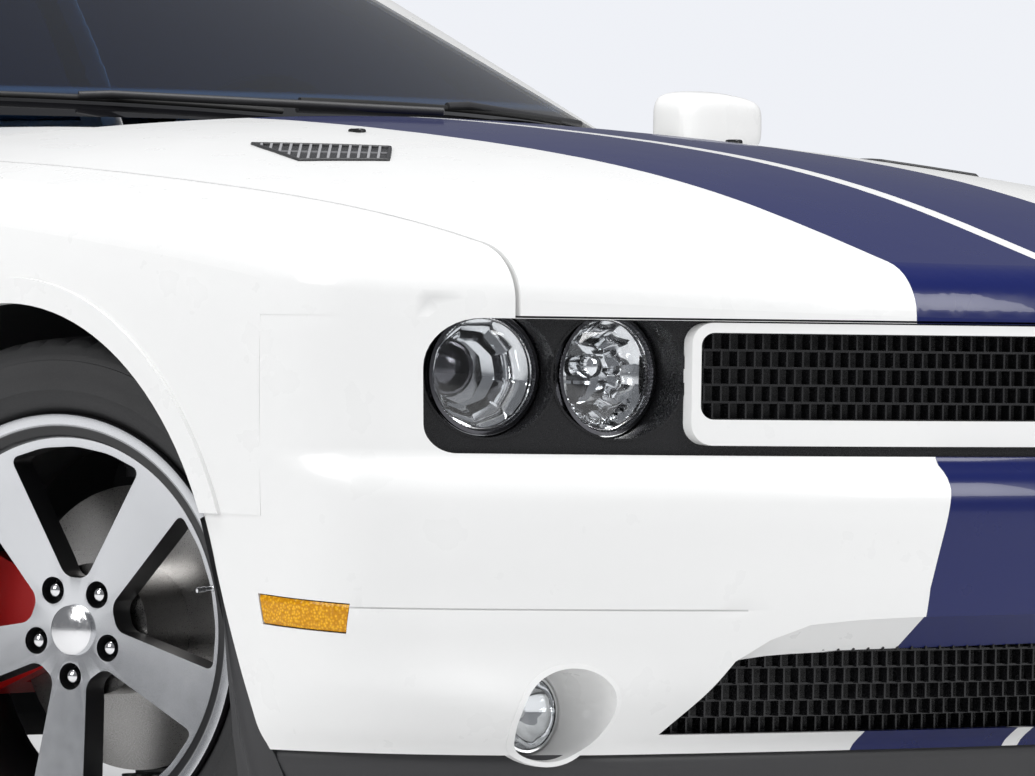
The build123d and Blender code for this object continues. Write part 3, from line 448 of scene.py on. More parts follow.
@dataclass
class Studio:
    """Camera at the photograph's viewpoint, soft lamps and a pale floor.

    Attributes:
        place: camera position in metres.
        yaw: heading of the view, in degrees.
        pitch: tilt of the view, in degrees.
        roll: roll of the view, in degrees.
        focal_px: focal length in pixels of the frame's width.
        width_px: the frame's width in pixels.
        sensor_mm: sensor width.
        floor_size: side of the floor in metres.
        fill: strength of the surroundings as a lamp.
        shown: strength of the surroundings to the camera and through glass.
        mirrored: strength of the surroundings in reflections.
        softboxes: name, place, aim, side and watts of each lamp.
    """

    place: Triple = (10.2801, -7.8305, 0.8032)
    yaw: float = 41.47
    pitch: float = -0.68
    roll: float = 0.84
    focal_px: float = 9002.0
    width_px: float = 1035.0
    sensor_mm: float = 36.0
    floor_size: float = 120.0
    fill: float = 0.42
    shown: float = 0.93
    mirrored: float = 0.22
    softboxes: tuple[tuple[str, Triple, Triple, float, float], ...] = (
        ("softbox_top", (1.5, -1.0, 7.5), (1.0, 0.0, 0.5), 7.0, 620.0),
        ("softbox_front", (8.5, 3.0, 4.2), (1.8, -0.4, 0.7), 3.5, 330.0),
        ("softbox_side", (1.0, -8.5, 4.5), (1.2, -0.6, 0.6), 4.0, 300.0),
    )

    def camera(self) -> None:
        """Make the camera that looks back along the fitted heading."""
        yaw, pitch, roll = (math.radians(a) for a in (self.yaw, self.pitch, self.roll))
        ahead = Vector((-math.cos(yaw) * math.cos(pitch), math.sin(yaw) * math.cos(pitch), math.sin(pitch)))
        right = Vector((math.sin(yaw), math.cos(yaw), 0.0))
        up = right.cross(ahead)
        turned = right * math.cos(roll) + up * math.sin(roll)
        upright = up * math.cos(roll) - right * math.sin(roll)
        data = bpy.data.cameras.new("camera")
        data.sensor_width = self.sensor_mm
        data.lens = self.focal_px / self.width_px * self.sensor_mm
        data.clip_end = 200.0
        facing = Matrix((turned, upright, -ahead)).transposed().to_4x4()
        cam = placed("camera", data)
        cam.matrix_world = Matrix.Translation(self.place) @ facing
        bpy.context.scene.camera = cam

    def lamp(self, name: str, place: Triple, aim: Triple, size: float, power: float) -> None:
        """Make one soft lamp.

        Args:
            name: lamp name.
            place: position.
            aim: point it looks at.
            size: side of the square.
            power: watts.
        """
        data = bpy.data.lights.new(name, "AREA")
        data.shape = "SQUARE"
        data.size = size
        data.energy = power
        lamp = placed(name, data)
        lamp.location = place
        lamp.rotation_euler = (Vector(aim) - Vector(place)).to_track_quat("-Z", "Y").to_euler()

    def world(self) -> None:
        """Pale surroundings, brighter to the camera and through glass than as a lamp, and dimmer in
        reflections.
        """
        world = bpy.data.worlds.new("studio")
        world.use_nodes = True
        tree = world.node_tree
        back = tree.nodes["Background"]
        path = tree.nodes.new("ShaderNodeLightPath")
        seen = tree.nodes.new("ShaderNodeMath")
        seen.operation = "MAXIMUM"
        tree.links.new(path.outputs["Is Camera Ray"], seen.inputs[0])
        tree.links.new(path.outputs["Is Transmission Ray"], seen.inputs[1])
        level = tree.nodes.new("ShaderNodeMapRange")
        level.inputs["To Min"].default_value = self.fill
        level.inputs["To Max"].default_value = self.shown
        tree.links.new(seen.outputs[0], level.inputs["Value"])
        mirrored = tree.nodes.new("ShaderNodeMix")
        tree.links.new(path.outputs["Is Glossy Ray"], mirrored.inputs[0])
        tree.links.new(level.outputs[0], mirrored.inputs[2])
        mirrored.inputs[3].default_value = self.mirrored
        tree.links.new(mirrored.outputs[0], back.inputs["Strength"])
        back.inputs["Color"].default_value = (0.93, 0.95, 1.0, 1.0)
        bpy.context.scene.world = world

    def floor(self) -> None:
        """Plain pale floor with a fine variation."""
        mesh = bpy.data.meshes.new("floor")
        bm = bmesh.new()
        bmesh.ops.create_grid(bm, x_segments=1, y_segments=1, size=self.floor_size / 2)
        bm.to_mesh(mesh)
        bm.free()
        floor = placed("floor", mesh)
        pale = Finish("pale_floor", (0.66, 0.66, 0.66), rough=0.7, vary=0.02, grain=60)
        mesh.materials.append(pale.build())

    def build(self) -> None:
        """Set up the whole studio."""
        bpy.context.scene.view_settings.view_transform = "Standard"
        self.camera()
        self.world()
        self.floor()
        for softbox in self.softboxes:
            self.lamp(*softbox)


class Cut(Enum):
    """How one closed shape works on another."""

    AWAY = "DIFFERENCE"
    KEEP = "INTERSECT"


def placed(name: str, data: bpy.types.ID) -> bpy.types.Object:
    """Make an object and put it into the scene.

    Args:
        name: object name.
        data: its mesh, curve, camera or lamp.

    Returns:
        The object.
    """
    obj = bpy.data.objects.new(name, data)
    bpy.context.collection.objects.link(obj)
    return obj


def place_at(x: float, y: float, z: float) -> Matrix:
    """Matrix that moves to a point."""
    return Matrix.Translation((x, y, z))


def turn(degrees: float, axis: str) -> Matrix:
    """Matrix that turns about an axis of its own frame."""
    return Matrix.Rotation(math.radians(degrees), 4, axis)


class Sculpt:
    """One mesh piece in metres, shaped by bmesh operators at its final place."""

    def __init__(self, name: str) -> None:
        """Start an empty piece.

        Args:
            name: name of the finished object.
        """
        self.name = name
        self.bm = bmesh.new()

    def fresh(self, before: set[bmesh.types.BMVert]) -> list[bmesh.types.BMVert]:
        """Vertices added since a moment before."""
        return [v for v in self.bm.verts if v not in before]

    def sheet(self, across: int, along: int, shape: Callable[[float, float], Sequence[float]]) -> None:
        """Bend a flat grid over a surface.

        Args:
            across: cells along the first direction.
            along: cells along the second direction.
            shape: point of the surface for two shares from 0 to 1.
        """
        made = bmesh.ops.create_grid(self.bm, x_segments=across, y_segments=along, size=0.5)
        for v in made["verts"]:
            v.co = shape(v.co.x + 0.5, v.co.y + 0.5)
        bmesh.ops.remove_doubles(self.bm, verts=made["verts"], dist=1e-6)

    def thicken(self, depth: float) -> None:
        """Give every face a thickness, inwards from the side that looks away from the engine.

        Args:
            depth: thickness in metres.
        """
        bmesh.ops.recalc_face_normals(self.bm, faces=self.bm.faces)
        self.bm.normal_update()
        engine = Vector((1.5, 0.0, 0.4))
        if sum(f.normal.dot(f.calc_center_median() - engine) * f.calc_area() for f in self.bm.faces) < 0:
            bmesh.ops.reverse_faces(self.bm, faces=self.bm.faces)
        bmesh.ops.solidify(self.bm, geom=self.bm.faces[:], thickness=depth)

    def lathe(self, outline: Sequence[Pair], steps: int = 48, at: Optional[Matrix] = None,
              wave: Optional[Callable[[float, float, float], float]] = None) -> None:
        """Turn an outline of radius and height about the local Z axis.

        Args:
            outline: points of radius and height.
            steps: steps of the full turn.
            at: place of the local frame.
            wave: optional new radius for an angle, a radius and a height.
        """
        before = set(self.bm.verts)
        verts = [self.bm.verts.new((r, 0.0, z)) for r, z in outline]
        edges = [self.bm.edges.new(pair) for pair in zip(verts, verts[1:])]
        bmesh.ops.spin(self.bm, geom=verts + edges, cent=(0, 0, 0), axis=(0, 0, 1), angle=math.tau,
                       steps=steps, use_merge=True)
        bmesh.ops.remove_doubles(self.bm, verts=self.fresh(before), dist=1e-6)
        made = self.fresh(before)
        if wave is not None:
            for v in made:
                r = math.hypot(v.co.x, v.co.y)
                if r > 1e-6:
                    scale = wave(math.atan2(v.co.y, v.co.x) % math.tau, r, v.co.z) / r
                    v.co.x *= scale
                    v.co.y *= scale
        if at is not None:
            bmesh.ops.transform(self.bm, matrix=at, verts=made)

    def bevel(self, edges: list[bmesh.types.BMEdge], radius: float, steps: int) -> None:
        """Round edges."""
        bmesh.ops.bevel(self.bm, geom=edges, offset=radius, offset_type="OFFSET", segments=steps, profile=0.5,
                        affect="EDGES", material=-1)

    def prism(self, outline: Sequence[Pair], low: float, high: float, at: Optional[Matrix] = None,
              radius: float = 0.0, steps: int = 6) -> None:
        """Extrude a flat outline, with its upright edges rounded.

        Args:
            outline: corners in the local XY plane.
            low: lower height.
            high: upper height.
            at: place of the local frame.
            radius: radius of the upright edges.
            steps: segments of each rounding.
        """
        before = set(self.bm.verts)
        face = self.bm.faces.new([self.bm.verts.new((x, y, low)) for x, y in outline])
        grown = bmesh.ops.extrude_face_region(self.bm, geom=[face])
        top = [g for g in grown["geom"] if isinstance(g, bmesh.types.BMVert)]
        bmesh.ops.translate(self.bm, vec=(0, 0, high - low), verts=top)
        made = self.fresh(before)
        if radius > 0:
            upright = [e for e in {e for v in made for e in v.link_edges}
                       if abs(e.verts[0].co.z - e.verts[1].co.z) > 1e-6]
            self.bevel(upright, radius, steps)
            made = self.fresh(before)
        if at is not None:
            bmesh.ops.transform(self.bm, matrix=at, verts=made)

    def brick(self, size: Sequence[float], at: Matrix, radius: float = 0.0, steps: int = 2) -> None:
        """Box about a place, with rounded edges.

        Args:
            size: full size along the local axes.
            at: place of its centre.
            radius: radius of its edges.
            steps: segments of each rounding.
        """
        before = set(self.bm.verts)
        made = bmesh.ops.create_cube(self.bm, size=1.0)["verts"]
        bmesh.ops.scale(self.bm, vec=size, verts=made)
        if radius > 0:
            self.bevel(list({e for v in made for e in v.link_edges}), radius, steps)
        bmesh.ops.transform(self.bm, matrix=at, verts=self.fresh(before))

    def brick_between(self, a: Vector, b: Vector, wide: float, high: float) -> None:
        """Bar from one point to another.

        Args:
            a: first end.
            b: second end.
            wide: width of the bar.
            high: height of the bar.
        """
        way = b - a
        turned = way.to_track_quat("X", "Z").to_matrix().to_4x4()
        self.brick((way.length, wide, high), Matrix.Translation((a + b) / 2) @ turned)

    def pillow(self, size: Sequence[float], at: Matrix, cells: int,
               shape: Callable[[Vector], Vector]) -> None:
        """Closed soft form made by moving a divided box's points.

        Args:
            size: full size along the local axes.
            at: place of the local frame.
            cells: cuts of each edge.
            shape: new place of a point of the box from -1 to 1.
        """
        before = set(self.bm.verts)
        made = bmesh.ops.create_cube(self.bm, size=2.0)["verts"]
        edges = list({e for v in made for e in v.link_edges})
        bmesh.ops.subdivide_edges(self.bm, edges=edges, cuts=cells, use_grid_fill=True)
        half = Vector(size) / 2
        for v in self.fresh(before):
            new = shape(v.co)
            v.co = (new.x * half.x, new.y * half.y, new.z * half.z)
        bmesh.ops.transform(self.bm, matrix=at, verts=self.fresh(before))

    def mesh(self) -> bpy.types.Mesh:
        """Close the bmesh into a mesh with outward normals.

        Returns:
            The mesh.
        """
        bmesh.ops.recalc_face_normals(self.bm, faces=self.bm.faces)
        mesh = bpy.data.meshes.new(self.name)
        self.bm.to_mesh(mesh)
        self.bm.free()
        return mesh

    def cut(self, tool: "Sculpt", how: Cut = Cut.AWAY) -> None:
        """Cut this piece with another, which is used up.

        Args:
            tool: closed piece that cuts.
            how: whether its inside is cut away or kept.
        """
        body, knife = placed("cut_body", self.mesh()), placed("cut_knife", tool.mesh())
        work = body.modifiers.new("cut", "BOOLEAN")
        work.operation = how.value
        work.object = knife
        work.solver = "EXACT"
        bpy.context.view_layer.update()
        solid = body.evaluated_get(bpy.context.evaluated_depsgraph_get())
        self.bm = bmesh.new()
        self.bm.from_mesh(solid.to_mesh())
        solid.to_mesh_clear()
        for obj in (body, knife):
            data = obj.data
            bpy.data.objects.remove(obj)
            bpy.data.meshes.remove(data)

    def finish(self, material: Material, body: str = "root", replaces: Sequence[str] = (),
               sharp: float = 32.0, levels: int = 0) -> bpy.types.Object:
        """Turn the piece into an object that rides on a body.

        Args:
            material: its finish.
            body: CAD body that it moves with.
            replaces: CAD nodes that it stands for.
            sharp: angle in degrees above which edges stay sharp.
            levels: subdivision levels.

        Returns:
            The finished object.
        """
        mesh = self.mesh()
        mesh.shade_smooth()
        mesh.set_sharp_from_angle(angle=math.radians(sharp))
        mesh.materials.append(material)
        obj = placed(self.name, mesh)
        if levels:
            work = obj.modifiers.new("smooth", "SUBSURF")
            work.levels = levels
            work.render_levels = levels
        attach(obj, body)
        if replaces:
            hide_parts(*replaces)
        log.info("piece %s: %d faces", self.name, len(mesh.polygons))
        return obj


def tube(name: str, points: Sequence[Sequence[float]], radius: float, material: Material,
         body: str = "root", closed: bool = False) -> None:
    """Make a round strip along a line of points.

    Args:
        name: object name.
        points: points in metres.
        radius: radius of the strip.
        material: its finish.
        body: CAD body that it moves with.
        closed: whether it runs back to its start.
    """
    data = bpy.data.curves.new(name, "CURVE")
    data.dimensions = "3D"
    data.bevel_depth = radius
    data.bevel_resolution = 2
    data.use_fill_caps = True
    line = data.splines.new("POLY")
    line.points.add(len(points) - 1)
    for slot, p in zip(line.points, points):
        slot.co = (*p, 1.0)
    line.use_cyclic_u = closed
    data.materials.append(material)
    obj = placed(name, data)
    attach(obj, body)
    log.info("piece %s: strip of %d points", name, len(points))


def dome(radius: float, base: float, rise: float, steps: int) -> list[Pair]:
    """Outline of a dome for the lathe, from its top to its rim.

    Args:
        radius: radius of its rim.
        base: height of its rim.
        rise: height of its top above the rim.
        steps: steps of its curve.

    Returns:
        Points of radius and height.
    """
    angles = [i * math.pi / (2 * steps) for i in range(steps + 1)]
    return [(radius * math.sin(a), base + rise * math.cos(a)) for a in angles]


def soften(obj: bpy.types.Object, width: float, segments: int, angle: float) -> None:
    """Round an object's sharp edges.

    Args:
        obj: the object.
        width: width of the rounding.
        segments: its segments.
        angle: angle in degrees above which an edge is sharp.
    """
    work = obj.modifiers.new("edge", "BEVEL")
    work.width = width
    work.segments = segments
    work.limit_method = "ANGLE"
    work.angle_limit = math.radians(angle)


class Probe:
    """Finds points on the outside of CAD nodes."""

    def __init__(self, *nodes: str) -> None:
        """Prepare the nodes' surfaces.

        Args:
            *nodes: CAD node names.
        """
        graph = bpy.context.evaluated_depsgraph_get()
        self.trees = [BVHTree.FromObject(frame["nodes"][n], graph) for n in nodes]

    def hit(self, start: Sequence[float], way: Sequence[float]) -> tuple[Vector, Vector]:
        """First point and normal that a ray meets.

        Args:
            start: where the ray starts.
            way: its direction.

        Returns:
            The point and the normal that faces the ray.
        """
        found = [t.ray_cast(Vector(start), Vector(way)) for t in self.trees]
        found = [f for f in found if f[0] is not None]
        point, normal, _, _ = min(found, key=lambda f: f[3])
        return point, normal if normal.dot(Vector(way)) < 0 else -normal


def eased(rows: Sequence[tuple[float, ...]], height: float) -> tuple[float, ...]:
    """Row of a table at a height, on smooth curves through its columns.

    Args:
        rows: table whose first column is the height, lowest first.
        height: where to read it.

    Returns:
        The other columns at that height.
    """
    height = min(max(height, rows[0][0]), rows[-1][0])
    i = max(k for k in range(len(rows) - 1) if rows[k][0] <= height)
    a, b = rows[i], rows[i + 1]
    before, after = rows[max(i - 1, 0)], rows[min(i + 2, len(rows) - 1)]
    span = b[0] - a[0]
    t = (height - a[0]) / span
    out = []
    for c in range(1, len(a)):
        start = (b[c] - before[c]) / (b[0] - before[0]) * span
        end = (after[c] - a[c]) / (after[0] - a[0]) * span
        out.append(a[c] + t * start + t * t * (3 * (b[c] - a[c]) - 2 * start - end)
                   + t * t * t * (start + end - 2 * (b[c] - a[c])))
    return tuple(out)


@dataclass(frozen=True)
class Plan:
    """Plan curve of the nose: a wide front arc, a round corner and a straight side.

    Attributes:
        nose: X of the foremost point.
        nose_r: radius of the front arc.
        corner_r: radius of the corner.
        half: half width at the side.
    """

    nose: float
    nose_r: float
    corner_r: float
    half: float

    def grown(self, off: float) -> "Plan":
        """The same curve moved outwards."""
        return Plan(self.nose + off, self.nose_r + off, self.corner_r + off, self.half + off)

    @property
    def corner(self) -> Pair:
        """Centre of the corner arc."""
        y = self.half - self.corner_r
        return self.nose - self.nose_r + math.sqrt((self.nose_r - self.corner_r) ** 2 - y * y), y

    @property
    def sweep(self) -> float:
        """Angle of the front arc from the middle to the corner."""
        return math.asin(self.corner[1] / (self.nose_r - self.corner_r))

    def at(self, t: float, rear: float) -> Pair:
        """Point on the left half: 0 to 1 on the front arc, to 2 on the corner, to 3 on the side.

        Args:
            t: where along the curve.
            rear: X where the side ends.

        Returns:
            X and Y.
        """
        cx, cy = self.corner
        if t <= 1:
            angle = self.sweep * t
            return self.nose - self.nose_r + self.nose_r * math.cos(angle), self.nose_r * math.sin(angle)
        end = math.acos(min(1.0, max(0.0, (rear - cx) / self.corner_r)))
        if t <= 2:
            angle = self.sweep + (end - self.sweep) * (t - 1)
            return cx + self.corner_r * math.cos(angle), cy + self.corner_r * math.sin(angle)
        x, y = cx + self.corner_r * math.cos(end), cy + self.corner_r * math.sin(end)
        return x + (min(rear, x) - x) * (t - 2), y

    def x_at(self, y: float) -> float:
        """X of the curve.

        Args:
            y: distance from the middle, of either sign.

        Returns:
            X there.
        """
        y = abs(y)
        cx, cy = self.corner
        if y <= self.nose_r * math.sin(self.sweep):
            return self.nose - self.nose_r + math.sqrt(self.nose_r ** 2 - y * y)
        return cx + math.sqrt(max(0.0, self.corner_r ** 2 - (y - cy) ** 2))

    def y_at(self, x: float) -> float:
        """Half width of the curve.

        Args:
            x: station along the car.

        Returns:
            Distance from the middle there.
        """
        cx, cy = self.corner
        if x <= cx:
            return self.half
        return cy + math.sqrt(max(0.0, self.corner_r ** 2 - (x - cx) ** 2))


def dress(material: Material, *nodes: str) -> None:
    """Give CAD nodes a material.

    Args:
        material: the finish.
        *nodes: CAD node names.
    """
    for name in nodes:
        mesh = frame["nodes"][name].data
        mesh.materials.clear()
        mesh.materials.append(material)


@dataclass(frozen=True)
class Caliper:
    """Finish of a hub carrier: dark casting with a red brake caliper behind the axle.

    Attributes:
        name: material name.
        centre: wheel centre in metres.
        ahead: unit vector that points forward in the wheel's plane.
        reach: distance behind the centre where the caliper starts.
        red: colour of the caliper.
        casting: colour of the rest.
    """

    name: str
    centre: Triple
    ahead: Triple
    reach: float = 0.098
    red: Colour = (0.55, 0.008, 0.008)
    casting: Colour = (0.035, 0.035, 0.037)

    def build(self) -> Material:
        """Make the material.

        Returns:
            The material.
        """
        g = Graph(self.name)
        offset = g.vector("SUBTRACT", g.coords(), self.centre)
        painted = g.maths("LESS_THAN", g.vector("DOT_PRODUCT", offset, self.ahead), -self.reach)
        dull = g.mix(g.noise(30.0, 3.0), shaded(self.casting, 0.8), self.casting)
        g.set(base_color=g.mix(painted, dull, self.red))
        grain = g.noise(350.0, 3.0)
        g.set(roughness=g.ramp(grain, 0.3, 0.7, 0.3, 0.42), coat_weight=0.4)
        g.set(normal=g.bump(grain, 0.4, 0.0003))
        return g.material


@dataclass(frozen=True)
class Facets:
    """Moulded lens with small facets behind its surface.

    Attributes:
        name: material name.
        colour: base colour.
        cells: facets for each metre.
        relief: depth of the facets in metres.
        rim: height below and above which the moulding is black, if it has such a frame.
    """

    name: str
    colour: Colour
    cells: float = 260.0
    relief: float = 0.0012
    rim: tuple[float, ...] = ()

    def build(self) -> Material:
        """Make the material.

        Returns:
            The material.
        """
        g = Graph(self.name)
        cells = g.node("TexVoronoi")
        cells.inputs["Scale"].default_value = self.cells
        g.link(g.coords(), cells.inputs["Vector"])
        bright = tuple(min(1.0, c * 1.25 + 0.02) for c in self.colour)
        base = g.mix(g.ramp(cells.outputs["Distance"], 0.0, 0.6, 0.0, 1.0), bright, shaded(self.colour, 0.55))
        if self.rim:
            low, high = self.rim
            z = g.axes()[2]
            inside = g.maths("MULTIPLY", g.maths("GREATER_THAN", z, low), g.maths("LESS_THAN", z, high))
            base = g.mix(inside, (0.010, 0.010, 0.011), base)
        g.set(base_color=base)
        g.set(roughness=g.ramp(g.noise(60.0, 3.0), 0.3, 0.7, 0.12, 0.2))
        g.set(coat_weight=0.25, coat_roughness=0.03, specular_ior_level=0.2)
        g.set(normal=g.bump(cells.outputs["Distance"], 0.6, self.relief))
        return g.material


@dataclass(frozen=True)
class Screen:
    """Window glass, dark blue, with a black band along its lower edge.

    Attributes:
        name: material name.
        tint: colour of the light that passes one surface.
        edge: height below which the glass is printed black.
    """

    name: str
    tint: Colour = (0.05, 0.12, 0.27)
    edge: float = 1.042

    def build(self) -> Material:
        """Make the material.

        Returns:
            The material.
        """
        g = Graph(self.name)
        clear = g.ramp(g.axes()[2], self.edge, self.edge + 0.012, 0.0, 1.0)
        tint = g.mix(g.noise(3.0, 2.0), shaded(self.tint, 0.93), self.tint)
        g.set(base_color=g.mix(clear, (0.006, 0.006, 0.007), tint))
        g.set(transmission_weight=clear, ior=1.45)
        g.set(roughness=g.ramp(g.noise(30.0, 3.0), 0.45, 0.75, 0.0, 0.02))
        return g.material


def palette() -> Looks:
    """Make the shared materials.

    Returns:
        The materials by name.
    """
    finishes = {
        "striped": BodyPaint("striped_paint", striped=True),
        "white": BodyPaint("white_paint"),
        "black": Finish("gloss_black", (0.010, 0.010, 0.011), rough=0.26, grain=700),
        "satin": Finish("satin_black", (0.026, 0.026, 0.028), rough=0.46, grain=900, relief=0.0001),
        "chrome": Finish("reflector", (0.86, 0.87, 0.88), rough=0.07, rough_vary=0.03, metal=1.0, grain=80,
                         relief=0),
        "dark_metal": Finish("smoked_metal", (0.10, 0.10, 0.11), rough=0.16, metal=0.9, grain=200, relief=0),
        "bright": Finish("bright_metal", (0.78, 0.78, 0.79), rough=0.14, metal=1.0, grain=300,
                         relief=0.00002),
        "lens": Pane("lamp_glass", (0.97, 0.98, 0.99)),
        "amber": Facets("amber_lens", (1.0, 0.42, 0.0)),
        "red": Facets("red_lens", (0.45, 0.006, 0.008), cells=90.0, rim=(0.816, 0.916)),
        "grey": Finish("vent_grey", (0.30, 0.30, 0.31), rough=0.35, grain=600),
        "rubber": Finish("seal_rubber", (0.012, 0.012, 0.012), rough=0.55, grain=500),
        "leather": Finish("seat_leather", (0.030, 0.030, 0.032), rough=0.45, grain=700, relief=0.0003,
                          sheen=0.2),
        "plastic": Finish("dash_plastic", (0.035, 0.035, 0.038), rough=0.5, grain=1200, relief=0.0003),
        "plate": Finish("blank_plate", (0.72, 0.73, 0.74), rough=0.3, grain=300, coat=0.4),
        "tyre": Finish("tyre_rubber", (0.020, 0.020, 0.021), rough=0.62, vary=0.2, grain=500, relief=0.0002),
        "iron": Finish("disc_iron", (0.42, 0.41, 0.4), rough=0.3, metal=1.0, grain=900),
    }
    return {name: finish.build() for name, finish in finishes.items()}


@dataclass
class Assembly:
    """Sub-assembly of the car.

    Attributes:
        looks: shared materials by name.
    """

    looks: Looks


@dataclass
class Shell(Assembly):
    """Finishes of the panels, the glass and what lies behind them.

    Attributes:
        striped: painted nodes that the stripes cross.
        plain: painted nodes without stripes.
        dark: dark mouldings.
        panes: glass nodes.
        under: plain dark parts below the floor.
    """

    striped: tuple[str, ...] = ("hood", "roof_panel", "deck_lid", "rear_fascia")
    plain: tuple[str, ...] = ("fender_left", "fender_right", "door_left", "door_right", "body_side_left",
                              "body_side_right")
    dark: tuple[str, ...] = ("cowl_panel", "wheel_liners")
    panes: tuple[str, ...] = ("windscreen", "rear_window", "quarter_glass", "door_glass_left",
                              "door_glass_right")
    under: tuple[str, ...] = ("floor_pan", "front_suspension", "rear_suspension")

    def build(self) -> None:
        """Dress the body's own nodes."""
        dress(self.looks["striped"], *self.striped)
        dress(self.looks["white"], *self.plain)
        dress(self.looks["satin"], *self.dark)
        dress(Screen("screen_glass").build(), *self.panes)
        dress(self.looks["red"], "tail_lamps")
        under = Finish("underbody", (0.03, 0.03, 0.032), rough=0.6, grain=200, relief=0.0004)
        dress(under.build(), *self.under)
        casting = Finish("casting", (0.16, 0.16, 0.17), rough=0.5, metal=0.6, grain=150, relief=0.0004)
        dress(casting.build(), "engine")
        steel = Finish("stainless", (0.5, 0.5, 0.5), rough=0.3, metal=1.0, stretch=(0.05, 1, 1))
        dress(steel.build(), "exhaust")
        dress(self.looks["plastic"], "dashboard")
        dress(self.looks["leather"], "steering_wheel")


